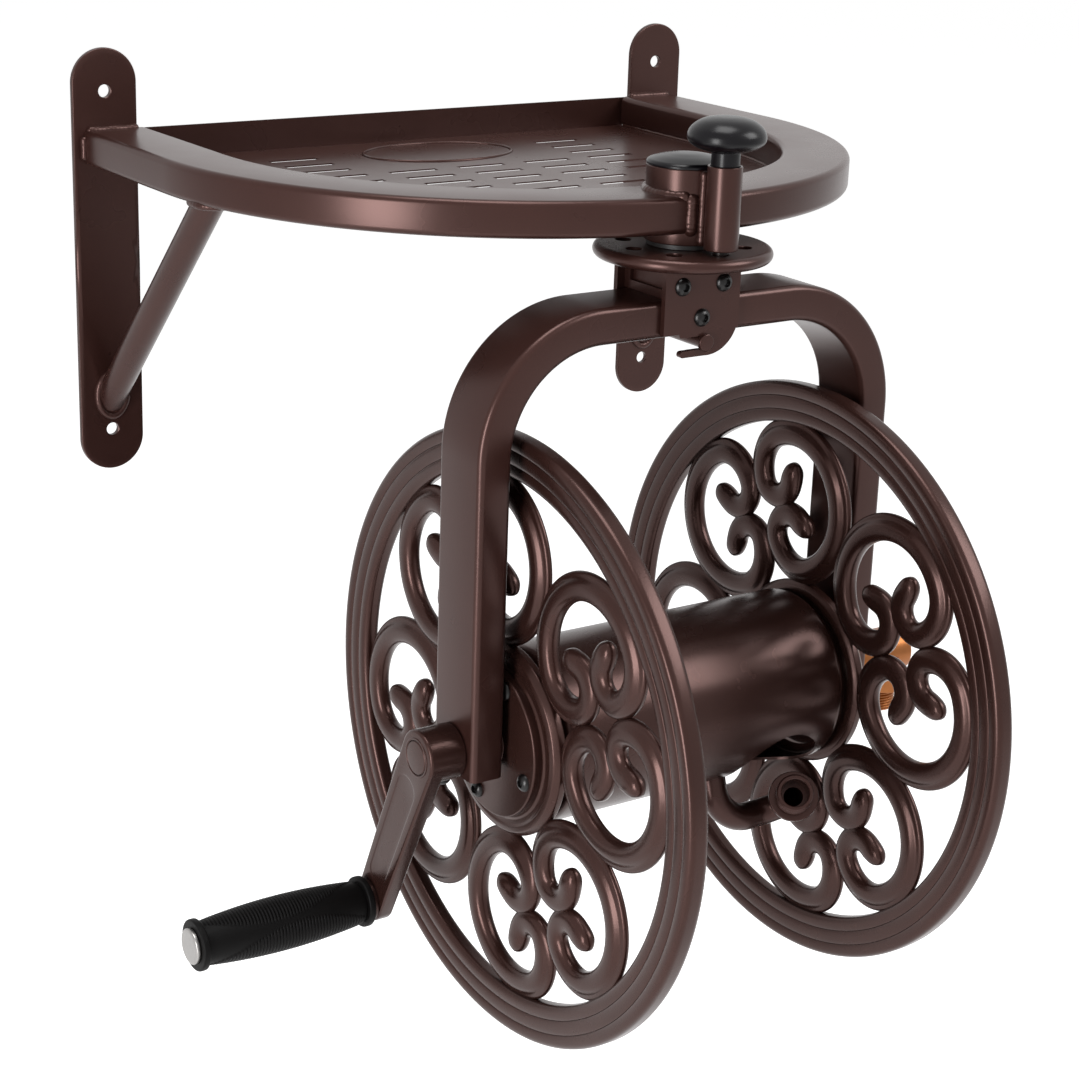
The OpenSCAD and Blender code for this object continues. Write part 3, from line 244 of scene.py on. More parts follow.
# %% Rails
TUBE_WIDE, TUBE_THIN, TUBE_ROUND, TUBE_WALL = 50.0, 25.0, 4.5, 2.0
RAIL_R, RAIL_Y, RAIL_START, RAIL_LOW = 240.0, -136.0, -4.1, 74.5
RAIL_HIGH, RAIL_OUT = RAIL_LOW + TUBE_THIN, RAIL_R + TUBE_WIDE / 2
PIVOT_TUBE_R, SEAT_GAP = 27.0, 0.1
SIDES = ((-1, "left"), (1, "right"))


def rail_half(side):
    """Half of the bracket tube: a section (radius - RAIL_R, height) carried from the wall plate to the cut.
    The cut angle of each section point is where its circle meets the pivot tube."""
    section = rounded_box(TUBE_WIDE, TUBE_THIN, TUBE_ROUND)
    radius = RAIL_R + section[:, 0]
    reach = RAIL_R ** 2 + radius ** 2 - (PIVOT_TUBE_R + SEAT_GAP) ** 2
    stop = np.arccos(np.clip(reach / (2 * RAIL_R * radius), -1, 1))
    leg = np.linspace(RAIL_START, RAIL_Y, 24)[:, None]
    bend = np.linspace(0, 1, 120)[1:, None] * (TAU / 4 - stop)
    height = (RAIL_HIGH + RAIL_LOW) / 2 + section[:, 1]
    straight = stacked(side * radius, leg, height)
    curved = stacked(side * radius * np.cos(bend), RAIL_Y - radius * np.sin(bend), height)
    grid = np.concatenate([straight, curved])
    return [(grid, False, True), lid(grid[0]), lid(grid[-1])]


for side, word in SIDES:
    make_piece(f"rail {word}", rail_half(side), "bronze_coat", "bracket", [f"shelf_rail_{word}"])

# %% [markdown]
# ## The yoke
# The reel hangs in a second bent tube. It starts at one arm's foot, rises, turns through a quarter circle,
# crosses and comes down again. Its path lies in one upright plane, so the section's second direction is
# always the wall direction, and a plain sweep is enough.

# %% Paths and sweeps
def unit(vectors):
    """The vectors at length one."""
    vectors = np.asarray(vectors, float)
    return vectors / np.linalg.norm(vectors, axis=-1, keepdims=True)


def arc_at(centre, radius, start, end, steps):
    """Points on a circle in a plane, from a start to an end angle in degrees."""
    angle = np.radians(np.linspace(start, end, steps))
    return np.asarray(centre, float) + radius * stacked(np.cos(angle), np.sin(angle))


def length_along(points):
    """The distance from a line's first point to each of its points, as the sum of the steps so far."""
    return np.concatenate([[0], np.cumsum(np.linalg.norm(np.diff(points, axis=0), axis=1))])


def flat_path(points):
    """A flat line without doubled points: its points, unit sideways directions (each tangent turned by a
    quarter) and the length so far."""
    length = length_along(points)
    keep = np.concatenate([[True], np.diff(length) > 1e-6])
    points, length = points[keep], length[keep]
    along = unit(np.gradient(points, length, axis=0))
    return points, stacked(along[:, 1], -along[:, 0]), length


def swept(path, sideways, upward, section):
    """A profile carried along a path: point + section[0] * sideways + section[1] * upward at every point."""
    section = np.asarray(section, float)
    if section.ndim == 2:
        section = np.broadcast_to(section, (len(path), *section.shape))
    upward = np.broadcast_to(upward, np.shape(path))
    grid = (np.asarray(path)[:, None] + section[..., :1] * np.asarray(sideways)[:, None]
            + section[..., 1:] * upward[:, None])
    return grid, False, True


# %% Yoke
PIVOT_Y, YOKE_Z, YOKE_X, BEND_R, ARM_FOOT = -376.0, 19.0, 160.0, 82.0, -282.5
ARM_STEPS, BEND_STEPS, TOP_STEPS = 40, 48, 12
WALLWARD = (0, 1, 0)
bend_x, bend_z = YOKE_X - BEND_R, YOKE_Z - BEND_R
yoke_arm = np.concatenate([stacked(-YOKE_X, np.linspace(ARM_FOOT, bend_z, ARM_STEPS)),
                           arc_at((-bend_x, bend_z), BEND_R, 180, 90, BEND_STEPS)])
yoke_top = stacked(np.linspace(-bend_x, bend_x, TOP_STEPS), YOKE_Z)
yoke_line, yoke_side, _ = flat_path(np.concatenate([yoke_arm, yoke_top, yoke_arm[::-1] * (-1, 1)]))
yoke_path = stacked(yoke_line[:, 0], PIVOT_Y, yoke_line[:, 1])
yoke_out = stacked(yoke_side[:, 0], 0, yoke_side[:, 1])
yoke_sections = [rounded_box(TUBE_THIN - 2 * wall, TUBE_WIDE - 2 * wall, TUBE_ROUND - wall)
                 for wall in (0, TUBE_WALL)]
yoke_skin, yoke_inner = (swept(yoke_path, yoke_out, WALLWARD, section) for section in yoke_sections)
foot_rims = [(np.stack([yoke_skin[0][end], yoke_inner[0][end]]), False, True) for end in (0, -1)]
make_piece("yoke", [yoke_skin, yoke_inner, *foot_rims], "bronze_coat", "swivel", ["yoke"])

# %% [markdown]
# ## Wall plates and struts
# The wall plates are punched straps with full round ends. Each half is a set of rays from its bolt hole to
# the outline, so the hole and the edge share one grid and the punched edge can be rounded. The struts are
# plain round bar, cut flat to lie against the plate and the rail.

# %% Wall plates
PLATE_X, PLATE_HALF, PLATE_T, PLATE_EDGE, EDGE_FADE = 248.0, 25.0, 4.0, 0.9, 4.0
END_Z, HOLE_Z, HOLE_R, HOLE_LIP = 133.0, 127.0, 4.75, 0.5


def plate_half(side, end):
    """Half a strap: rays at angle a from the hole, cut by the side lines, the round end and the middle line.
    Rows go from the hole's back edge over the front face and the rounded rim to the back again."""
    corner = math.atan2(-HOLE_Z, PLATE_HALF)
    angle = np.unique(np.concatenate([np.linspace(corner, math.pi - corner, 96),
                                      np.linspace(math.pi - corner, TAU + corner, 14)]))
    ray_x, ray_z = np.cos(angle), np.sin(angle)
    to_side = PLATE_HALF / np.maximum(np.abs(ray_x), 1e-9)
    to_middle = np.where(ray_z < -1e-9, HOLE_Z / np.maximum(-ray_z, 1e-9), np.inf)
    shift = HOLE_Z - END_Z
    to_end = -shift * ray_z + np.sqrt((shift * ray_z) ** 2 - shift ** 2 + PLATE_HALF ** 2)
    use_end = HOLE_Z + to_end * ray_z >= END_Z - 1e-6
    reach = np.where(use_end, to_end, np.minimum(to_side, to_middle))
    edge = PLATE_EDGE * np.clip((HOLE_Z + reach * ray_z) / EDGE_FADE, 0, 1)
    lip_r = HOLE_R + HOLE_LIP
    rows = [(HOLE_R, 0), (HOLE_R, PLATE_T - HOLE_LIP), (lip_r, PLATE_T)]
    rows += [(lip_r * (1 - share) + (reach - edge) * share, PLATE_T) for share in np.linspace(0.15, 0.85, 5)]
    rows += [(reach - edge * (1 - math.sin(bend)), PLATE_T - edge * (1 - math.cos(bend)))
             for bend in np.linspace(0, TAU / 4, 5)]
    rows += [(reach, 0), (HOLE_R, 0)]
    radius, depth = np.array([np.broadcast_arrays(*row, angle)[:2] for row in rows]).transpose(1, 0, 2)
    return stacked(side * PLATE_X + radius * ray_x, -depth, end * (HOLE_Z + radius * ray_z)), False, True


for side, word in SIDES:
    make_piece(f"wall plate {word}", [plate_half(side, 1), plate_half(side, -1)], "bronze_coat", "bracket",
               [f"wall_plate_{word}"])

# %% Struts
STRUT_R, STRUT_FOOT, STRUT_HEAD = 11.0, np.array([-PLATE_T, -100.0]), np.array([-172.0, RAIL_LOW])
strut_along = unit(STRUT_HEAD - STRUT_FOOT)


def strut(side):
    """A round bar between two flat cuts: each line of its skin runs from the plate's to the rail's plane."""
    across = np.array([strut_along[1], -strut_along[0]])
    angle = np.linspace(0, TAU, 64, endpoint=False)
    offset = STRUT_R * np.cos(angle)[:, None] * across
    low = -offset[:, 0] / strut_along[0]
    high = np.linalg.norm(STRUT_HEAD - STRUT_FOOT) - offset[:, 1] / strut_along[1]
    distance = low + (high - low) * np.linspace(0, 1, 40)[:, None]
    flat = STRUT_FOOT + offset + distance[..., None] * strut_along
    grid = stacked(side * PLATE_X + STRUT_R * np.sin(angle), flat[..., 0], flat[..., 1])
    return [(grid, False, True), lid(grid[0]), lid(grid[-1])]


for side, word in SIDES:
    make_piece(f"strut {word}", strut(side), "bronze_coat", "bracket", [f"strut_{word}"])

# %% [markdown]
# ## The upright tubes
# The pivot tube carries the swivel, and a thinner tube in front of it guides the lock pin. Both are cut on a
# lathe, so they are surfaces of revolution. Their corners are broken, because a sharp edge would show no
# light.

# %% Soft corners and the lathe
# No axis here runs along this direction, so it can mark where the angle starts.
ASLANT = (0.31, 0.52, 0.79)


def softened(points, size, steps=5, closed=False):
    """An outline with each corner cut back by size and replaced by a parabola tangent to both sides."""
    points = np.asarray(points, float)
    before, after = np.roll(points, 1, axis=0), np.roll(points, -1, axis=0)
    size = np.broadcast_to(np.asarray(size, float), len(points)).copy()
    if not closed:
        size[[0, -1]] = 0
    t = np.linspace(0, 1, steps)[None, :, None]
    near = points + unit(before - points + 1e-12) * size[:, None]
    far = points + unit(after - points + 1e-12) * size[:, None]
    curve = (1 - t) ** 2 * near[:, None] + 2 * t * (1 - t) * points[:, None] + t ** 2 * far[:, None]
    curve = curve.reshape(-1, points.shape[1])
    keep = np.concatenate([[True], np.linalg.norm(np.diff(curve, axis=0), axis=1) > 1e-7])
    return curve[keep]


def turned(profile, origin, axis, steps=96, zero=ASLANT):
    """A surface of revolution: each profile point (radius, distance along the axis) goes round the axis,
    starting toward zero. A profile with a second index has its own radius for each angle."""
    axis = unit(axis)
    up = unit(np.cross(axis, zero))
    across = np.cross(up, axis)
    angle = np.linspace(0, TAU, steps, endpoint=False)
    profile = np.asarray(profile, float)
    if profile.ndim == 2:
        profile = profile[:, None]
    ring = np.cos(angle)[:, None] * across + np.sin(angle)[:, None] * up
    grid = np.asarray(origin, float) + profile[..., :1] * ring + profile[..., 1:] * axis
    return grid, False, True


# %% Pivot and lock tubes
TUBE_FOOT, TUBE_HEAD, LOCK_HEAD = 66.4, 116.5, 121.4
PIVOT_BORE_R, LOCK_TUBE_R, LOCK_BORE_R = 23.0, 11.5, 9.9
PIVOT, LOCK, UP = (0, PIVOT_Y, 0), (0, -416.5, 0), (0, 0, 1)


def tube_wall(bore, outer, head, edge):
    """A tube's section from TUBE_FOOT to its head, with its four corners broken."""
    corners = [(bore, TUBE_FOOT), (outer, TUBE_FOOT), (outer, head), (bore, head), (bore, TUBE_FOOT)]
    return softened(corners, edge)


make_piece("pivot tube", [turned(tube_wall(PIVOT_BORE_R, PIVOT_TUBE_R, TUBE_HEAD, 1.0), PIVOT, UP)],
           "bronze_coat", "bracket", ["pivot_tube"])
make_piece("lock tube", [turned(tube_wall(LOCK_BORE_R, LOCK_TUBE_R, LOCK_HEAD, 0.7), LOCK, UP, 64)],
           "bronze_coat", "bracket", ["lock_tube"])

# %% [markdown]
# ## Cap and lock knob
# A push-in cap closes the pivot tube, and a mushroom knob lifts the lock pin. Both are turned shapes with
# soft shoulders, moulded in gloss black plastic, and their round highlights are what the eye notes first.
# Their profiles are (radius, height) corners as on a drawing, each with its own softening.

# %% Cap and knob
CAP_FOOT, CAP_TOP, KNOB_FOOT, KNOB_TOP, KNOB_NECK_R = 116.6, 123.8, 119.4, 153.4, 9.5
cap_profile = softened([(27, CAP_FOOT), (27.2, 118.0), (25.8, 119.6), (18, 122.0), (8, 123.6), (0, CAP_TOP)],
                       [0, 0.7, 1.2, 3.5, 3.5, 0], 8)
cap_profile = np.concatenate([[(0, CAP_FOOT)], cap_profile])
make_piece("pivot cap", [turned(cap_profile, PIVOT, UP)], "black_plastic", "bracket", ["pivot_cap"])
knob_profile = softened([(0, KNOB_FOOT), (KNOB_NECK_R, KNOB_FOOT), (KNOB_NECK_R, 130.4), (12, 130.6),
                         (21, 133.4), (25.6, 137.2), (26, 140.5), (24.8, 145), (19, 150.4), (10, 153.0),
                         (0, KNOB_TOP)], [0, 0.3, 0.6, 1.5, 3.5, 2.0, 2.0, 3.0, 4.5, 4.5, 0], 8)
make_piece("lock knob", [turned(knob_profile, LOCK, UP)], "black_plastic", "lock", ["lock_knob"])

# %% [markdown]
# ## The index disc
# The disc under the bracket is turned with a full round edge and drilled with eight holes for the lock pin.
# Eight equal sectors, each a fan of rays from its own hole to the sector's outline, close up to the whole
# disc.

# %% Index disc
DISC_R, DISC_LOW, DISC_HIGH, SHAFT_R, BORDER_STEPS = 60.5, 54.0, 63.0, 12.5, 25
INDEX_R, INDEX_HOLE_R, INDEX_LIP, INDEX_COUNT = 40.5, 5.5, 0.5, 8
DISC_ROUND = (DISC_HIGH - DISC_LOW) / 2
DISC_FLAT_R = DISC_R - DISC_ROUND


def disc_sector(k):
    """One sector of the disc: rays from the hole to the sector's border, which is two radii, the inner circle
    and the start of the round edge. Rows run in along the bottom, up the hole and out over the top."""
    half = math.pi / INDEX_COUNT
    spread = np.linspace(-half, half, BORDER_STEPS)
    radial = np.linspace(SHAFT_R, DISC_FLAT_R, BORDER_STEPS)
    sides = ((DISC_FLAT_R, spread), (radial[::-1], half), (SHAFT_R, spread[::-1]), (radial, -half))
    border = np.concatenate([stacked(*pair)[:-1] for pair in sides])
    rim = border[:, :1] * stacked(np.cos(border[:, 1]), np.sin(border[:, 1]))
    middle = np.array([INDEX_R, 0])
    hole = middle + INDEX_HOLE_R * unit(rim - middle)
    lip = middle + (INDEX_HOLE_R + INDEX_LIP) * unit(rim - middle)
    rows = [(rim, DISC_LOW), (lip, DISC_LOW), (hole, DISC_LOW + INDEX_LIP), (hole, DISC_HIGH - INDEX_LIP),
            (lip, DISC_HIGH), (lip * 0.6 + rim * 0.4, DISC_HIGH), (rim, DISC_HIGH)]
    flat = np.stack([row for row, _ in rows])
    height = np.array([z for _, z in rows])[:, None]
    turn = TAU * k / INDEX_COUNT - TAU / 4
    x = flat[..., 0] * math.cos(turn) - flat[..., 1] * math.sin(turn)
    y = flat[..., 0] * math.sin(turn) + flat[..., 1] * math.cos(turn)
    return stacked(x, PIVOT_Y + y, height), False, True


disc_edge = arc_at((DISC_FLAT_R, DISC_LOW + DISC_ROUND), DISC_ROUND, -90, 90, 17)
disc_bore = [(SHAFT_R, DISC_LOW), (SHAFT_R, DISC_HIGH)]
disc_sheets = [disc_sector(k) for k in range(INDEX_COUNT)]
disc_sheets += [turned(profile, PIVOT, UP, 192) for profile in (disc_edge, disc_bore)]
make_piece("index disc", disc_sheets, "bronze_coat", "swivel", ["index_disc"])

# %% [markdown]
# ## The scrolled wheels
# Each wheel is one aluminium casting: a moulded rim, a hub ring and eight C scrolls in four mirrored pairs. A
# scroll is a bar carried along a path of tangent arcs, and it closes in a blunt leaf at each hooked end, as
# patterns for such castings do. Bars, rim and hub run into each other as the metal does.

# %% Scroll bars
PITCH, BIG_R, BIG_V = 37.0, 51.5, 120.44
TURN_R, TURN_V, HOOK_R, HOOK_U = 28.25, 97.19, 16.0, 24.75
BAR_HALF_W, BAR_HALF_T, HOOK_OPEN, TIP_L, TIP_FLARE = 10.0, 6.5, 36.0, 17.0, 1.5
BODY_SHIFT, LIP_HALF, LIP_HIGH, LIP_FROM, LIP_GROWS = 0.2, 0.5, 0.42, 50.0, 40.0
SWELL_AT, NOSE = [0, 5, 11, 19, 30, 45, 70, 400], 6.0
SWELL_W = [0.42, 0.74, 0.9, 0.95, 0.97, 0.92, 1.0, 1.0]
SWELL_T = [0.6, 0.9, 1.05, 0.95, 0.88, 0.9, 1.0, 1.0]


def eased(values, window=9):
    """A row of numbers evened out by a moving mean, its ends held."""
    padded = np.pad(values, window // 2, mode="edge")
    return np.convolve(padded, np.ones(window) / window, mode="valid")


def bar_profile(flange):
    """Half thickness over the bar's width a = -1 (inner) to 1 (outer): a rounded body (1 - |a|^2.6)^0.55.
    Where flange is 1, the body is moved inward by BODY_SHIFT, and a lower lip follows the outer edge."""
    a = np.cos(np.linspace(0, math.pi, 19))
    plain = (1 - np.abs(a) ** 2.6) ** 0.55
    body = np.clip(1 - np.abs((a + BODY_SHIFT) / (1 - BODY_SHIFT)) ** 2.8, 0, 1) ** 0.5
    lip = LIP_HIGH * np.clip(1 - np.abs((a - LIP_HALF) / LIP_HALF) ** 4, 0, 1) ** 0.5
    return a, plain * (1 - flange) + np.maximum(body, lip) * flange


def scroll_bar(mirror_u):
    """A C scroll in the wheel's plane: leaf tip, hook, quarter turn, great arc, and the same mirrored. Width
    and thickness follow the distance from its end: a round nose, a leaf that fills out, then the full bar."""
    hook = arc_at((HOOK_U, TURN_V), HOOK_R, HOOK_OPEN, 180, 32)
    quarter = arc_at((PITCH, TURN_V), TURN_R, 180, 270, 24)[1:]
    great = arc_at((PITCH, BIG_V), BIG_R, -90, 0, 42)[1:]
    away = unit(hook[0] - (HOOK_U, TURN_V))
    onward = np.array([away[1], -away[0]])
    bend = np.linspace(1, 0, 18)[:-1, None]
    tip = hook[0] + TIP_L * bend * onward + TIP_FLARE * bend ** 2 * away
    lower = np.concatenate([tip, hook, quarter, great])
    upper = lower[::-1][1:] * (1, -1) + (0, 2 * BIG_V)
    line, sideways, length = flat_path(np.concatenate([lower, upper]))
    from_end = np.minimum(length, length[-1] - length)
    nose = np.sqrt(1 - (1 - np.clip(from_end / NOSE, 0, 1)) ** 2)
    wide, thick = (eased(np.interp(from_end, SWELL_AT, swell)) * nose for swell in (SWELL_W, SWELL_T))
    a, half = bar_profile(np.clip((from_end - LIP_FROM) / LIP_GROWS, 0, 1)[:, None])
    across = BAR_HALF_W * np.concatenate([a, a[-2:0:-1]]) * wide[:, None]
    height = BAR_HALF_T * np.concatenate([half, -half[:, -2:0:-1]], axis=1) * thick[:, None]
    flat = line[:, None] + across[..., None] * sideways[:, None]
    return np.concatenate([flat * (mirror_u, 1), height[..., None]], -1)


scrolls = [scroll_bar(mirror_u) for mirror_u in (-1, 1)]
print("scroll grid:", scrolls[0].shape)

# %% Rim and hub ring
WHEEL_R, RIM_W, RIM_HALF = 215.0, 30.0, 8.0
BAND_COUNT, BAND_HIGH, RIM_RISE, RIM_WALL = 3, 0.15, 0.22, 0.5
HUB_RING_CORNERS = [(38, 6.5), (40, 8), (54, 8), (56, 7), (59, 7), (61, 7.8), (65, 7), (68.2, 3.2)]
HUB_BACK_SHARE, HUB_SOFT = 0.55, 0.8


def rim_section():
    """Half thickness over the rim's width s = 0 (inner) to 1 (outer). The face rises outward by RIM_RISE and
    falls to RIM_WALL at both edges. Its bands are pillows of |sin(BAND_COUNT pi s)|^0.5."""
    ease = (1 - np.cos(np.linspace(0, math.pi, 17))) / 2
    s = np.unique(((np.arange(BAND_COUNT)[:, None] + ease) / BAND_COUNT).round(9))
    edge = RIM_WALL + (1 - RIM_WALL) * np.sqrt(1 - np.abs(2 * s - 1) ** 8)
    pillow = np.sqrt(np.abs(np.sin(BAND_COUNT * math.pi * s)))
    half = RIM_HALF * ((1 - RIM_RISE + RIM_RISE * s) * edge + BAND_HIGH * (pillow - 1))
    face = stacked(WHEEL_R - RIM_W + s * RIM_W, half)
    return np.concatenate([face, face[::-1] * (1, -1), face[:1]])


rim_loop = rim_section()
hub_ring = np.array(HUB_RING_CORNERS)
hub_loop = softened(np.concatenate([hub_ring, hub_ring[::-1] * (1, -HUB_BACK_SHARE)]), HUB_SOFT, closed=True)
hub_loop = np.concatenate([hub_loop, hub_loop[:1]])
print("section points: rim", len(rim_loop), "hub ring", len(hub_loop))

# %% Wheels
AXLE_Z, WHEEL_MID, PHASE, PAIRS = -266.5, 128.0, 25.0, 4
ALONG_X = (1, 0, 0)


def on_wheel(grid, side, turn):
    """Wheel-plane points (u, v, thickness) set at a wheel's place, with v turned from +Y toward +Z."""
    c, s = math.cos(math.radians(turn)), math.sin(math.radians(turn))
    u, v, w = grid[..., 0], grid[..., 1], grid[..., 2]
    return stacked(side * WHEEL_MID + w, PIVOT_Y + v * c - u * s, AXLE_Z + v * s + u * c)


def wheel(side):
    """The sheets of one wheel: revolved rim and hub ring, and eight swept scrolls."""
    centre = (side * WHEEL_MID, PIVOT_Y, AXLE_Z)
    sheets = [turned(rim_loop, centre, ALONG_X, 200), turned(hub_loop, centre, (side, 0, 0))]
    for k in range(PAIRS):
        turn = 90 * k - 90 - PHASE
        sheets += [(on_wheel(scroll, side, turn), False, True) for scroll in scrolls]
    return sheets


for side, word in SIDES:
    make_piece(f"wheel {word}", wheel(side), "cast_coat", "reel", [f"wheel_{word}"], crease=50)

# %% [markdown]
# ## The drum
# Between the wheels the hose winds on a steel drum. It is rolled from a sheet with one round window near the
# far wheel, where the hose is joined on. The grid runs from the window's edge to the border of a flat patch,
# and is then rolled up, so the window has a true edge.

# %% Drum
DRUM_R, DRUM_WALL, DRUM_HALF, SHOULDER = 63.0, 2.0, 120.0, 7.0
WINDOW_X, WINDOW_R, WINDOW_TURN = 74.0, 37.0, math.radians(-126)
PATCH_LOW, PATCH_HIGH, PATCH_TURN = 33.0, 113.0, math.radians(46)


def rolled(x, turn, wall=0.0):
    """Flat drum points (x, turn from the window's middle) rolled up. The radius falls by a quarter round at
    both ends, SHOULDER (1 - sqrt(1 - past^2))."""
    past = np.clip((np.abs(x) - DRUM_HALF + SHOULDER) / SHOULDER, 0, 1)
    radius = DRUM_R - wall - SHOULDER * (1 - np.sqrt(1 - past ** 2))
    angle = WINDOW_TURN + turn
    return stacked(x, PIVOT_Y + radius * np.cos(angle), AXLE_Z + radius * np.sin(angle))


def drum_sheets():
    """An even grid over the drum, except for a patch round the window. There, each point of the patch's
    border is joined to the window point at its own angle a, where x = WINDOW_X + r cos a and
    turn = asin(r sin a / R)."""
    x_far = DRUM_HALF - SHOULDER + SHOULDER * np.sin(np.linspace(0, TAU / 4, 12))
    x_near = np.concatenate([-x_far[::-1], np.linspace(SHOULDER - DRUM_HALF, PATCH_LOW, 60)[1:]])
    x_patch = np.linspace(PATCH_LOW, PATCH_HIGH, 41)
    in_patch = np.linspace(-PATCH_TURN, PATCH_TURN, 61)
    beside = np.linspace(PATCH_TURN, TAU - PATCH_TURN, 141)
    all_turns = np.concatenate([in_patch, beside[1:-1]])
    sides = ((x_patch, -PATCH_TURN), (PATCH_HIGH, in_patch[1:-1]), (x_patch[::-1], PATCH_TURN),
             (PATCH_LOW, in_patch[-2:0:-1]))
    border_x, border_turn = np.concatenate([stacked(*pair) for pair in sides]).T
    a = np.arctan2(border_turn * DRUM_R, border_x - WINDOW_X)
    hole_x, hole_turn = WINDOW_X + WINDOW_R * np.cos(a), np.arcsin(WINDOW_R / DRUM_R * np.sin(a))
    share = np.linspace(0, 1, 14)[:, None]
    patch_x = hole_x * (1 - share) + border_x * share
    patch_turn = hole_turn * (1 - share) + border_turn * share
    sheets = []
    for wall in (0.0, DRUM_WALL):
        sheets += [(rolled(x_near[:, None], all_turns, wall), False, True),
                   (rolled(x_far[:, None], all_turns, wall), False, True),
                   (rolled(x_patch[:, None], beside, wall), False, False),
                   (rolled(patch_x, patch_turn, wall), False, True)]
    for x, turn in ((-DRUM_HALF, all_turns), (DRUM_HALF, all_turns), (hole_x, hole_turn)):
        sheets.append((np.stack([rolled(x, turn), rolled(x, turn, DRUM_WALL)]), False, True))
    return sheets


make_piece("drum", drum_sheets(), "cast_coat", "reel", ["drum"])

# %% [markdown]
# ## Hub plates and screws
# A round cast plate with a raised boss clamps each wheel to the drum with four button head screws. A screw
# head is a dome over its radius, and a six-sided pit in its middle is pressed in by the same formula, so the
# recess is real. The same head serves the hanger plates, the arms' feet and the crank.

# %% Hub plates
HUB_IN, HUB_OUT, HUB_R, BOSS_R, BOSS_END, HUB_BORE_R = 136.0, 142.0, 53.0, 16.0, 144.5, 11.0
AXLE = (0, PIVOT_Y, AXLE_Z)
hub_profile = softened([(HUB_BORE_R, HUB_IN), (HUB_R, HUB_IN), (HUB_R, HUB_OUT), (BOSS_R, HUB_OUT),
                        (BOSS_R, BOSS_END), (HUB_BORE_R, BOSS_END), (HUB_BORE_R, HUB_IN)],
                       [0, 0.4, 1.6, 0.8, 0.6, 0.3, 0], 6)
for side, word in SIDES:
    make_piece(f"hub plate {word}", [turned(hub_profile, AXLE, (side, 0, 0))], "cast_coat", "reel",
               [f"hub_plate_{word}"])

# %% Screw head
SCREW_R, SCREW_HIGH, SCREW_SUNK, HEAD_STEPS = 6.25, 3.8, 1.0, 60
PIT_R, PIT_DEEP, PIT_EDGE = 2.5, 2.09, 0.25


def hexagon(angle, half_flat):
    """Distance from a hexagon's middle to its border: half_flat / cos(angle from the nearest flat)."""
    return half_flat / np.cos((angle + TAU / 12) % (TAU / 6) - TAU / 12)


def all_round(rows, steps):
    """Profile rows (radius, distance) that are the same at every angle."""
    return np.broadcast_to(np.asarray(rows, float)[:, None], (len(rows), steps, 2))


def screw_head(origin, axis):
    """A button head: SCREW_HIGH (1 - (r/R)^2.6)^0.62 over the radius, less a pit with a hexagon's border."""
    share = np.concatenate([np.linspace(0, 0.08, 4), np.linspace(0.1, 0.3, 12), np.linspace(0.33, 1, 16)])
    r = SCREW_R * np.sqrt(share)[:, None]
    border = hexagon(np.linspace(0, TAU, HEAD_STEPS, endpoint=False) - TAU / 12, PIT_R)
    dome = SCREW_HIGH * (1 - (r / SCREW_R) ** 2.6) ** 0.62
    pit = PIT_DEEP * np.clip((border - r) / PIT_EDGE + 0.5, 0, 1)
    top = stacked(r, np.maximum(dome - pit, 0))
    foot = all_round([(SCREW_R, -SCREW_SUNK), (0, -SCREW_SUNK)], HEAD_STEPS)
    return turned(np.concatenate([top, foot]), origin, axis, HEAD_STEPS)


# %% Screws
SCREW_RING, FRONT_FACE, REAR_FACE = 44.0, -405.1, -346.9
HANGER_SCREWS = ((-20.5, 41.1), (13.5, 41.1), (-3.5, YOKE_Z))
DOWN = (0, 0, -1)
hub_ring_y, hub_ring_z = SCREW_RING * arc_at((0, 0), 1.0, 45 - PHASE, 315 - PHASE, 4).T
hub_heads = [screw_head((side * HUB_OUT, PIVOT_Y + y, AXLE_Z + z), (side, 0, 0))
             for side, _ in SIDES for y, z in zip(hub_ring_y, hub_ring_z)]
make_piece("hub screws", hub_heads, "black_screw", "reel", ["hub_screws"])
hanger_heads = [screw_head((x, face, z), (0, out, 0)) for face, out in ((FRONT_FACE, -1), (REAR_FACE, 1))
                for x, z in HANGER_SCREWS]
make_piece("hanger screws", hanger_heads, "black_screw", "swivel", ["hanger_screws"])
bush_heads = [screw_head((side * YOKE_X, PIVOT_Y, ARM_FOOT), DOWN) for side, _ in SIDES]
make_piece("bush screws", bush_heads, "black_screw", "swivel", ["bush_screws"])

# %% [markdown]
# ## The crank
# The crank hangs by the near arm. Its cast bar tapers from the axle to the handle and has a sunk panel in its
# face, with a deep hub behind it. The bar is a stack of tangent-line outlines, each a little smaller, which
# gives the rounded edge, the flat land and the panel's step.

# %% Crank bar
CRANK_R, CRANK_LEAN, CRANK_EDGE = 145.0, math.radians(25), 2.0
BAR_IN, BAR_OUT, HUB_END_R, TIP_R = 188.9, 200.9, 19.0, 15.5
PANEL_START, PANEL_END, PANEL_R, PANEL_TAPER, PANEL_DEPTH = 32.0, 116.0, 10.6, 1.2, 0.35
PANEL_STEPS = ((0, 0), (0.5, 0.2), (1.0, 0.8), (1.5, 1.0))
BAR_T = BAR_OUT - BAR_IN
lean_cos, lean_sin = math.cos(CRANK_LEAN), math.sin(CRANK_LEAN)


def tapered(big, small, start, end):
    """Outline of two circles and their outer tangents, with the same number of points for every inset."""
    lean = math.degrees(math.asin((big - small) / (end - start)))
    far = arc_at((end, 0), small, -90 + lean, 90 - lean, 40)
    near = arc_at((start, 0), big, 90 - lean, 270 + lean, 48)
    share = np.linspace(0, 1, 14)[1:-1, None]
    return np.concatenate([far, far[-1] * (1 - share) + near[0] * share,
                           near, near[-1] * (1 - share) + far[0] * share])


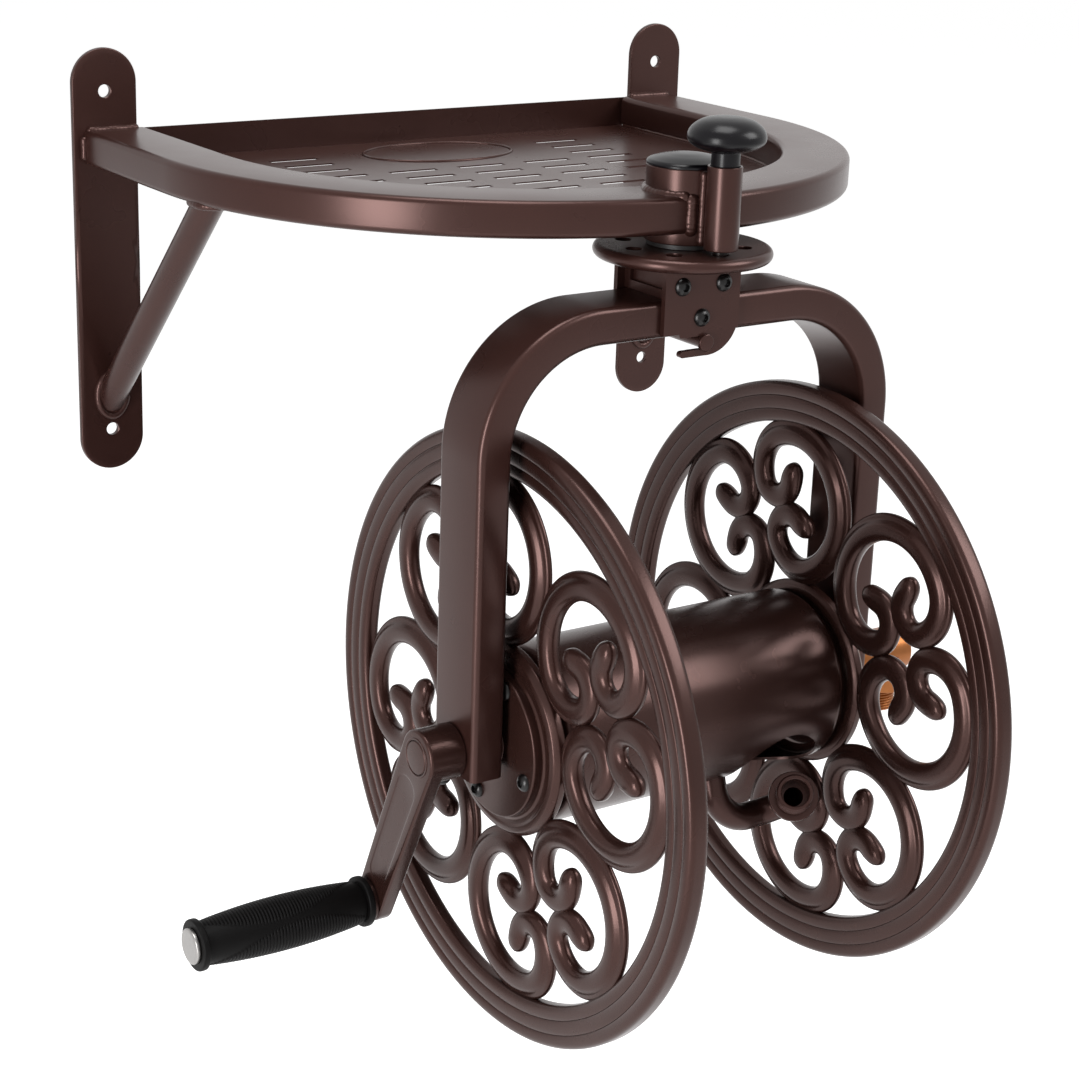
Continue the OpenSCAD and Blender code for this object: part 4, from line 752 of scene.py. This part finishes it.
def crank_layer(flat, depth):
    """An outline (along the bar, across it) at a depth in front of the bar's back, in the crank's place."""
    along, across = flat[:, 0], flat[:, 1]
    return stacked(-BAR_IN - depth, PIVOT_Y + along * lean_sin + across * lean_cos,
                   AXLE_Z - along * lean_cos + across * lean_sin)


edge_turn = np.linspace(0, TAU / 4, 6)
falling, rising = CRANK_EDGE * (1 - np.sin(edge_turn)), CRANK_EDGE * (1 - np.cos(edge_turn))
bar_edges = [*zip(falling, rising), *zip(rising, BAR_T - falling)]
bar_layers = [crank_layer(tapered(HUB_END_R - inset, TIP_R - inset, 0, CRANK_R), depth)
              for inset, depth in bar_edges]
bar_layers += [crank_layer(tapered(PANEL_R + PANEL_TAPER - inset, PANEL_R - inset, PANEL_START, PANEL_END),
                           BAR_T - PANEL_DEPTH * share) for inset, share in PANEL_STEPS]
bar_grid = np.array(bar_layers)
front_mid = crank_layer(np.array([[(PANEL_START + PANEL_END) / 2, 0]]), BAR_T - PANEL_DEPTH)[0]
back_mid = crank_layer(np.array([[CRANK_R / 2, 0]]), 0)[0]
print("crank bar grid:", bar_grid.shape)

# %% Crank hub, collar and set screw
HUB_FACE, HUB_SKIN_R, HUB_STOP, SUNK = 172.9, HUB_END_R + 0.05, BAR_OUT - 2.2, 1.5
COLLAR_R, COLLAR_END, SEAT = 14.5, 203.9, BAR_OUT - SUNK
DISC_LAND_R, DISC_FACE_R, GROOVE_R = 13.8, 11.2, (12.5, 12.2, 11.6)
LAND_HIGH, FACE_HIGH = BAR_OUT + 0.5, BAR_OUT + 0.6
OUTWARD = (-1, 0, 0)
HANDLE = (0, PIVOT_Y + CRANK_R * lean_sin, AXLE_Z - CRANK_R * lean_cos)
hub_back = softened([(0, HUB_FACE), (HUB_SKIN_R, HUB_FACE), (HUB_SKIN_R, HUB_STOP), (0, HUB_STOP)],
                    [0, 1.5, 0, 0], 6)
collar = softened([(0, SEAT), (COLLAR_R, SEAT), (COLLAR_R, COLLAR_END), (0, COLLAR_END)], [0, 0, 0.8, 0])
end_disc = softened([(0, SEAT), (DISC_LAND_R, SEAT), (DISC_LAND_R, LAND_HIGH), (GROOVE_R[0], LAND_HIGH),
                     (GROOVE_R[1], BAR_OUT), (GROOVE_R[2], BAR_OUT), (DISC_FACE_R, FACE_HIGH),
                     (0, FACE_HIGH)], [0, 0, 0.4, 0.3, 0.1, 0.1, 0.3, 0], 4)
crank_sheets = [(bar_grid, False, True), lid(bar_grid[0], back_mid), lid(bar_grid[-1], front_mid),
                turned(hub_back, AXLE, OUTWARD, 80), turned(end_disc, AXLE, OUTWARD, 80),
                turned(collar, HANDLE, OUTWARD, 80)]
make_piece("crank arm", crank_sheets, "cast_coat", "reel", ["crank_arm"])
SET_SCREW = (-(HUB_FACE + BAR_IN) / 2, PIVOT_Y, AXLE_Z - HUB_END_R)
make_piece("crank set screw", [screw_head(SET_SCREW, DOWN)], "black_screw", "reel", ["crank_set_screw"])

# %% [markdown]
# ## The handle
# The grip spins on a steel rod. Its fine rings are moulded in the rubber, so the radius is a smooth swelling
# plus a ripple. The ripple fades at the two end flanges and along a smooth slanting band where the palm lies,
# which is why the radius depends on the angle too. The rod's head shows as a bright turned end.

# %% Grip
GRIP_IN, GRIP_OUT, GRIP_R, GRIP_SWELL, GRIP_BORE, GRIP_STEPS = 204.3, 336.3, 14.2, 4.2, 6.6, 120
FLANGE_L, FLANGE_R, FLANGE_SOFT = 5.0, 18.0, [0, 1.4, 1.4, 0]
RING_COUNT, RING_HIGH, RING_STEPS, RING_FADE = 50, 0.8, 8, 30
BAND_SKEW, BAND_MID, BAND_END, BAND_EDGE = np.radians((-38, 7, 70, 4))
TO_VIEWER = (0, -0.86, 0.51)


def grip_skin():
    """Radius over the length t and the angle: GRIP_R + GRIP_SWELL sin(pi t)^0.8 + rings. The rings fade in a
    slanting band on two opposite sides, of half width BAND_MID + (BAND_END - BAND_MID)(2t - 1)^2. Flanges
    close the ends."""
    body = np.linspace(GRIP_IN + FLANGE_L, GRIP_OUT - FLANGE_L, RING_COUNT * RING_STEPS + 1)
    t = ((body - body[0]) / (body[-1] - body[0]))[:, None]
    angle = np.linspace(0, TAU, GRIP_STEPS, endpoint=False)
    off_band = np.abs((angle - BAND_SKEW * (t - 0.5) + TAU / 4) % (TAU / 2) - TAU / 4)
    band = BAND_MID + (BAND_END - BAND_MID) * (2 * t - 1) ** 2
    fade = np.clip(np.minimum(t, 1 - t) * RING_FADE, 0, 1)
    fade = fade * np.clip((off_band - band) / BAND_EDGE + 0.5, 0, 1)
    rings = RING_HIGH * np.abs(np.sin(math.pi * RING_COUNT * t)) ** 0.6 * fade
    radius = GRIP_R + GRIP_SWELL * np.sin(math.pi * t) ** 0.8 + rings
    near = softened([(GRIP_BORE, GRIP_IN), (FLANGE_R, GRIP_IN), (FLANGE_R, body[0]), (GRIP_R, body[0])],
                    FLANGE_SOFT, 7)
    far = softened([(GRIP_R, body[-1]), (FLANGE_R, body[-1]), (FLANGE_R, GRIP_OUT), (GRIP_BORE, GRIP_OUT)],
                   FLANGE_SOFT, 7)
    near, far, bore = (all_round(rows, GRIP_STEPS) for rows in (near, far, [(GRIP_BORE, GRIP_IN)]))
    middle = stacked(radius, body[:, None])[1:-1]
    return turned(np.concatenate([near, middle, far, bore]), HANDLE, OUTWARD, GRIP_STEPS, TO_VIEWER)


make_piece("grip", [grip_skin()], "grip_rubber", "handle", ["grip"], crease=60)

# %% Handle rod
ROD_R, HEAD_R, HEAD_FACE, ROD_END, BREAK_IN, BREAK_DOWN = 6.5, 12.5, 336.7, 339.7, 2.0, 0.4
rod_foot = COLLAR_END - SUNK
rod_profile = softened([(0, rod_foot), (ROD_R, rod_foot), (ROD_R, HEAD_FACE), (HEAD_R, HEAD_FACE),
                        (HEAD_R, ROD_END - BREAK_DOWN), (HEAD_R - BREAK_IN, ROD_END), (0, ROD_END)],
                       [0, 0, 0, 0.3, 0.8, 0.8, 0])
make_piece("handle rod", [turned(rod_profile, HANDLE, OUTWARD, 80)], "zinc_steel", "reel", ["handle_rod"])

# %% [markdown]
# ## Water way: outlet and inlet
# Water comes in through a brass elbow on the far end of the axle, which turns freely, and leaves through a
# bent pipe in the drum's window. A pipe is a circle carried along arcs. A thread is a turned surface whose
# radius depends on the angle as well: the ridge moves one pitch along the axis for each turn.

# %% Threads and bent pipes
THREAD_R, THREAD_PITCH, THREAD_DEEP, THREAD_L, THREAD_CHAMFER = 13.4, 2.2, 1.1, 16.0, 0.6
RUN_IN, RUN_OUT = 1.5, 1.2
PIPE_R, PIPE_BORE = 10.0, 7.0


def threaded(origin, axis, start, bore, steps=96):
    """A threaded spout from start to start + THREAD_L: radius = THREAD_R - THREAD_DEEP * groove. The groove
    is 1.5 |2 frac(s / pitch - a) - 1| - 0.25, held between 0 and 1. It fades in over RUN_IN and is full all
    round within RUN_OUT of the mouth. The bore leads back."""
    s = np.linspace(0, THREAD_L, 150)[:, None]
    a = np.linspace(0, 1, steps, endpoint=False)
    groove = np.clip(1.5 * np.abs(2 * ((s / THREAD_PITCH - a) % 1) - 1) - 0.25, 0, 1)
    deep = np.maximum(groove, np.clip(1 - (THREAD_L - s) / RUN_OUT, 0, 1)) * np.clip(s / RUN_IN, 0, 1)
    outer = stacked(THREAD_R - THREAD_DEEP * deep, start + s)
    end = start + THREAD_L
    inner = [(bore + THREAD_CHAMFER, end), (bore, end - THREAD_CHAMFER), (bore, start), (THREAD_R, start)]
    return turned(np.concatenate([outer, all_round(inner, steps)]), origin, axis, steps)


def circle(radius, steps):
    """A closed circle about the path that carries it."""
    return arc_at((0, 0), radius, 0, 360, steps + 1)[:-1]


def bent_pipe(start, heading, toward, before, radius, sweep, after):
    """A pipe from start: straight along heading, an arc of a given sweep toward another direction, straight
    on. The section's first direction is the arc's outward normal, its second is square to the bend."""
    t = np.radians(np.concatenate([[0], np.linspace(0, sweep, 40), [sweep]]))[:, None]
    path = start + heading * (before + radius * np.sin(t)) + toward * radius * (1 - np.cos(t))
    path[0] = start
    path[-1] += after * (heading * np.cos(t[-1]) + toward * np.sin(t[-1]))
    normal = heading * np.sin(t) - toward * np.cos(t)
    outer, inner = (swept(path, normal, np.cross(heading, toward), circle(r, 48))[0]
                    for r in (PIPE_R, PIPE_BORE))
    return [(np.concatenate([outer, inner[::-1]]), True, True)], path[-1], unit(path[-1] - path[-2])


# %% Outlet
PIPE_X, PIPE_FOOT, PIPE_RUN, PIPE_BEND, PIPE_LINK = 36.0, 55.0, 70.0, 26.0, 6.0
PIPE_TURN, SPOUT_TURN = np.radians((-108, 141))
SPOUT_BEND, SPOUT_SWEEP, SPOUT_LINK, SPOUT_BORE = 20.0, 120, 0.05, 9.9
RING_R, RING_L, STEP = 18.0, 5.0, 1.0
pipe_out, spout_out = (np.array([0, math.cos(turn), math.sin(turn)]) for turn in (PIPE_TURN, SPOUT_TURN))
along_x = np.array(ALONG_X, float)
pipe_start = np.array(AXLE) + PIPE_X * along_x + PIPE_FOOT * pipe_out
pipe_sheets, pipe_end, _ = bent_pipe(pipe_start, pipe_out, along_x, PIPE_RUN - PIPE_FOOT, PIPE_BEND, 90,
                                     PIPE_LINK)
make_piece("outlet pipe", pipe_sheets, "bronze_coat", "reel", ["outlet_pipe"])
spout_sheets, mouth, spout_axis = bent_pipe(pipe_end, along_x, spout_out, 0, SPOUT_BEND, SPOUT_SWEEP,
                                            SPOUT_LINK)
spout_ring = softened([(PIPE_BORE, 0), (RING_R, 0), (RING_R, RING_L), (SPOUT_BORE, RING_L),
                       (SPOUT_BORE, STEP), (PIPE_BORE, STEP), (PIPE_BORE, 0)], [0, 0.8, 0.8, 0, 0, 0, 0])
spout_sheets += [turned(spout_ring, mouth, spout_axis, 80), threaded(mouth, spout_axis, RING_L, SPOUT_BORE)]
make_piece("outlet fitting", spout_sheets, "bronze_coat", "reel", ["outlet_fitting"])
print("outlet mouth (mm):", mouth.round(1), "axis:", spout_axis.round(3))

# %% Inlet
INLET_IN, INLET_OUT, INLET_R, LEG_X, HEX_END, INLET_BORE = 172.9, 224.9, 17.5, 207.4, 28.0, 9.0
SOCKET_R, SOCKET_DEEP, HEX_LESS, HEX_BREAK = 12.0, 4.0, 0.3, (0.94, 1.5)
LEG_TOP = (LEG_X, PIVOT_Y, AXLE_Z)
socket_end = INLET_IN + SOCKET_DEEP
inlet_body = softened([(SOCKET_R, INLET_IN), (INLET_R, INLET_IN), (INLET_R, INLET_OUT), (0, INLET_OUT),
                       (0, socket_end), (SOCKET_R, socket_end), (SOCKET_R, INLET_IN)],
                      [0, 1.2, 2.5, 0, 0, 0, 0], 6)
hex_r = hexagon(np.linspace(0, TAU, 96, endpoint=False), INLET_R - HEX_LESS)
hex_rows = np.array([(0, 0), (1, 0), (1, HEX_END - HEX_BREAK[1]), (HEX_BREAK[0], HEX_END), (0, HEX_END)])
hex_nut = stacked(hex_rows[:, :1] * hex_r, hex_rows[:, 1:])
inlet_sheets = [turned(inlet_body, AXLE, ALONG_X), turned(hex_nut, LEG_TOP, DOWN, 96, ALONG_X),
                threaded(LEG_TOP, DOWN, HEX_END, INLET_BORE)]
make_piece("inlet elbow", inlet_sheets, "brass", "inlet", ["inlet_elbow"])

# %% [markdown]
# ## Weld beads
# The bracket is welded where its tubes meet. A hand weld leaves a row of ripples, so a bead is a thin round
# carried along the joint whose radius beats about once every three millimetres and closes at both ends. A
# texture could draw the ripples, but only a shape catches the light at the joint's edge.

# %% Beads and ovals
BEAD_R, BEAD_BEAT, BEAD_BASE, BEAD_RIPPLE, BEAD_WANDER, BEAD_WAVE = 3.2, 3.4, 0.92, 0.035, 0.06, 1.3


def bead(points, reference, size=BEAD_R):
    """A round of a given size carried along a path, closed at both ends by a quarter circle. Its radius beats
    with |sin(pi s / beat)| and wanders with a slower wave out of step, so no two ripples are alike."""
    points = np.asarray(points, float)
    length = length_along(points)
    s = np.linspace(0, length[-1], max(int(length[-1] * 2), 12))
    path = stacked(*(np.interp(s, length, coordinate) for coordinate in points.T))
    along = unit(np.gradient(path, s, axis=0))
    side = unit(np.cross(along, reference))
    end = np.clip(np.minimum(s, s[-1] - s) / size, 0, 1)
    ripple = (BEAD_BASE + BEAD_RIPPLE * np.abs(np.sin(math.pi * s / BEAD_BEAT))
              + BEAD_WANDER * np.sin(BEAD_WAVE * s / BEAD_BEAT + 1))
    radius = size * ripple * np.sqrt(1 - (1 - end) ** 2)
    return swept(path, side, np.cross(side, along), radius[:, None, None] * circle(1.0, 16))


def oval(centre, first, second, start=0, end=360, steps=73):
    """Points of an ellipse: centre + first cos a + second sin a."""
    angle = np.radians(np.linspace(start, end, steps))[:, None]
    return np.asarray(centre) + np.cos(angle) * np.asarray(first) + np.sin(angle) * np.asarray(second)


# %% Weld beads
BEAD_OFF, FOOT_OFF, TOP_SEAM_IN, TOP_SEAM_SHORT, SIDE_HIGH, SIDE_LOW = 0.4, 0.3, 222.0, 2.0, 4.0, 3.0
RAIL_END_X, RAIL_END_Y, RAIL_END_PAST, LOCK_SEAM_X = 12.0, PIVOT_Y - 22.6, 2.0, 6.0
PIVOT_SEAM_R, PIVOT_SEAM_SPAN, PIVOT_SEAM_Z = 26.0, 60, RAIL_HIGH - 1
TRAY_SEAM_R, TRAY_SEAM_Z, TRAY_SEAM_START, TRAY_SEAM_SPAN = 216.0, 75.6, -6.0, 84
PIVOT_BEAD, RAIL_END_BEAD, LOCK_BEAD, TRAY_BEAD = 4.5, 5.5, 3.6, 2.0
beads, ring_r = [], STRUT_R + FOOT_OFF
for side, _ in SIDES:
    plate_y, top, out_x = -PLATE_T - BEAD_OFF, RAIL_HIGH - FOOT_OFF, side * RAIL_OUT
    pivot_seam = oval((0, PIVOT_Y, PIVOT_SEAM_Z), (side * PIVOT_SEAM_R, 0, 0), (0, PIVOT_SEAM_R, 0),
                      -PIVOT_SEAM_SPAN, PIVOT_SEAM_SPAN)
    top_seam = [(side * TOP_SEAM_IN, plate_y, top), (out_x - side * TOP_SEAM_SHORT, plate_y, top)]
    side_seam = [(out_x, plate_y, RAIL_HIGH - SIDE_HIGH), (out_x, plate_y, RAIL_LOW + SIDE_LOW)]
    rail_end = [(side * RAIL_END_X, RAIL_END_Y, z)
                for z in (RAIL_HIGH + RAIL_END_PAST, RAIL_LOW - RAIL_END_PAST)]
    lock_seam = [(side * LOCK_SEAM_X, PIVOT_Y - PIVOT_TUBE_R, z) for z in (TUBE_HEAD, TUBE_FOOT)]
    tray_bend = oval((0, RAIL_Y, TRAY_SEAM_Z), (side * TRAY_SEAM_R, 0, 0), (0, -TRAY_SEAM_R, 0),
                     0, TRAY_SEAM_SPAN)
    tray_seam = np.concatenate([[(side * TRAY_SEAM_R, TRAY_SEAM_START, TRAY_SEAM_Z)], tray_bend])
    strut_foot = oval((side * PLATE_X, -PLATE_T - FOOT_OFF, STRUT_FOOT[1]), (ring_r, 0, 0),
                      (0, 0, ring_r / abs(strut_along[0])))
    strut_head = oval((side * PLATE_X, STRUT_HEAD[0], RAIL_LOW - FOOT_OFF), (ring_r, 0, 0),
                      (0, ring_r / strut_along[1], 0))
    beads += [bead(top_seam, UP), bead(side_seam, WALLWARD), bead(pivot_seam, UP, PIVOT_BEAD),
              bead(rail_end, WALLWARD, RAIL_END_BEAD), bead(lock_seam, WALLWARD, LOCK_BEAD),
              bead(tray_seam, UP, TRAY_BEAD), bead(strut_foot, WALLWARD), bead(strut_head, UP)]
make_piece("weld beads", beads, "bronze_coat", "bracket", ["weld_beads"], crease=70)

# %% [markdown]
# ## Hook bolt and the tray's oval
# The hook bolt is a plain turned pin with a low head at each end. The tray has a raised oval frame pressed
# into its sheet, which is a thin round carried along an ellipse and half sunk in the tray.

# %% Hook bolt
BOLT_Z, BOLT_R, BOLT_HEAD_R, BOLT_SEAT, BOLT_END = 1.9, 4.5, 6.0, 29.1, 32.1
bolt_half = np.array([(BOLT_R, BOLT_SEAT), (BOLT_HEAD_R, BOLT_SEAT), (BOLT_HEAD_R, BOLT_END), (0, BOLT_END)])
bolt_profile = softened(np.concatenate([bolt_half[::-1] * (1, -1), bolt_half]),
                        [0, 1.2, 0.3, 0, 0, 0.3, 1.2, 0], 6)
make_piece("hook bolt", [turned(bolt_profile, (0, PIVOT_Y, BOLT_Z), WALLWARD, 64)], "bronze_coat", "swivel",
           ["hook_bolt"])

# %% Tray oval
OVAL_MID, OVAL_X, OVAL_Y, OVAL_BEAD = (2.0, -60.0, 75.5), 62.0, 40.0, 1.3
oval_line = oval(OVAL_MID, (OVAL_X, 0, 0), (0, OVAL_Y, 0), steps=145)[:-1]
oval_out = unit((oval_line - OVAL_MID) * (1 / OVAL_X ** 2, 1 / OVAL_Y ** 2, 0))
oval_grid = swept(oval_line, oval_out, UP, circle(OVAL_BEAD, 16))[0]
make_piece("tray oval", [(oval_grid, True, True)], "bronze_coat", "bracket")

# %% [markdown]
# ## Finish on the parts that keep their CAD shape
# The tray, the hanger plates, the bushes and the inner parts are already right as plain bent or turned
# shapes. They keep their CAD meshes and take the finish of their slot. The lock pin alone is steel whose
# colour is darkened as painted shade for the gap under the lock tube, and it keeps a metal shine.

# %% Finish the CAD nodes
# Painted shade: the pin's near-black steel colour stands in for the shade in the gap under the lock tube.
PIN_PAINTED_SHADE = mottled("steel pin darkened as painted shade", "#3a3736", "#242120",
                  mottle_mm=9, grain_mm=0.5, grain_depth=0.02, rough=0.3, metal=0.9)
for part in frame["record"]["subparts"]:
    materials = nodes[part["node"]].data.materials
    materials.clear()
    materials.append(PIN_PAINTED_SHADE if part["node"] == "lock_pin" else FINISH_OF_SLOT[part["material_slot"]])

# %% [markdown]
# ## Camera
# The picture was taken from the left, a little above, with a long lens. The camera is turned by three angles,
# and its three axes are written out, so that each angle can be read and changed by itself.

# %% Camera
YAW, PITCH_UP, ROLL = (math.radians(v) for v in (-34.35, 18.41, 1.94))
CAMERA_AT, LENS_MM, SENSOR_MM, SHIFT_PX, IMAGE_PX = (-0.9645, -1.6267, 0.3765), 79.84, 36.0, 2.5, 1079
scene = bpy.context.scene
scene.view_settings.view_transform = "Standard"
back = Vector((math.sin(YAW) * math.cos(PITCH_UP), -math.cos(YAW) * math.cos(PITCH_UP), math.sin(PITCH_UP)))
level = Vector((math.cos(YAW), math.sin(YAW), 0))
upright = back.cross(level)
right = level * math.cos(ROLL) + upright * math.sin(ROLL)
above = upright * math.cos(ROLL) - level * math.sin(ROLL)
lens = bpy.data.cameras.new("camera")
lens.lens = LENS_MM
lens.sensor_width = SENSOR_MM
lens.shift_x = SHIFT_PX / IMAGE_PX
camera = bpy.data.objects.new("camera", lens)
scene.collection.objects.link(camera)
turned_axes = Matrix((right, above, back)).transposed().to_4x4()
camera.matrix_world = Matrix.Translation(Vector(CAMERA_AT)) @ turned_axes
scene.camera = camera
print("camera at (m):", CAMERA_AT)

# %% [markdown]
# ## Lamps and white ground
# The product picture has a plain white ground and soft light from the left and above. Large area lamps make
# long soft highlights on the tubes. The key is a tall strip that reaches low, because an upright tube mirrors
# what stands below the camera's height. The ground is white to the eye and in reflections, but adds little
# light.

# %% Lamps
LAMP_AIM = (0, -0.3, -0.1)


def soft_lamp(name, place, wide, tall, watts):
    """An area lamp of a width and height at a place in metres, facing the middle of the reel."""
    lamp = bpy.data.lights.new(name, "AREA")
    lamp.shape = "RECTANGLE"
    lamp.size, lamp.size_y = wide, tall
    lamp.energy = watts
    holder = bpy.data.objects.new(name, lamp)
    scene.collection.objects.link(holder)
    holder.location = place
    holder.rotation_euler = (Vector(LAMP_AIM) - Vector(place)).to_track_quat("-Z", "Y").to_euler()
    print(f"lamp {name}: {watts} W, {wide} x {tall} m")


soft_lamp("key", (-2.4, -1.3, -0.05), wide=0.8, tall=1.6, watts=60)
soft_lamp("right", (1.5, -1.8, 1.5), wide=1.3, tall=1.3, watts=46)
soft_lamp("top", (-0.2, -0.4, 2.3), wide=1.2, tall=1.2, watts=34)

# %% World
WHITE, WORLD_LIGHT = (1.0, 1.0, 1.0, 1.0), 0.12


def seen_or_mirrored(tree):
    """One for camera, glossy and transmission rays, and nothing for the rays that only bring light."""
    rays = add_node(tree, "ShaderNodeLightPath").outputs
    direct = add_node(tree, "ShaderNodeMath", [(0, rays["Is Camera Ray"]), (1, rays["Is Transmission Ray"])],
                      operation="MAXIMUM")
    return add_node(tree, "ShaderNodeMath", [(0, direct.outputs[0]), (1, rays["Is Glossy Ray"])],
                    operation="MAXIMUM").outputs[0]


world = bpy.data.worlds.new("studio")
scene.world = world
tree = new_tree(world)
strength = add_node(tree, "ShaderNodeMapRange", [("Value", seen_or_mirrored(tree))],
                    [("To Min", WORLD_LIGHT), ("To Max", 1.0)])
glow = add_node(tree, "ShaderNodeBackground", [("Strength", strength.outputs["Result"])], [("Color", WHITE)])
add_node(tree, "ShaderNodeOutputWorld", [("Surface", glow.outputs["Background"])])
print("world light:", WORLD_LIGHT)

# %% Floor
FLOOR_HALF, FLOOR_Z, FLOOR_SHINE = 40.0, -0.9, 0.9
FLOOR_CORNERS = ((-1, -1), (1, -1), (1, 1), (-1, 1))
# Matt paper scatters light evenly, so it keeps a soft shadow and shows no edge.
paper = bpy.data.materials.new("white paper sweep")
tree = new_tree(paper)
matt = add_node(tree, "ShaderNodeBsdfDiffuse", [], [("Color", hex_rgba("#e6e6e6"))])
shine = add_node(tree, "ShaderNodeMath", [(0, seen_or_mirrored(tree))], [(1, FLOOR_SHINE)],
                 operation="MULTIPLY")
lit = add_node(tree, "ShaderNodeEmission", [("Strength", shine.outputs[0])], [("Color", WHITE)])
sheet = add_node(tree, "ShaderNodeAddShader", [(0, matt.outputs[0]), (1, lit.outputs[0])])
add_node(tree, "ShaderNodeOutputMaterial", [("Surface", sheet.outputs[0])])
ground = bpy.data.meshes.new("floor")
ground.from_pydata([(x * FLOOR_HALF, y * FLOOR_HALF, FLOOR_Z) for x, y in FLOOR_CORNERS], [], [(0, 1, 2, 3)])
ground.materials.append(paper)
floor = bpy.data.objects.new("floor", ground)
scene.collection.objects.link(floor)
print("floor at (m):", FLOOR_Z)
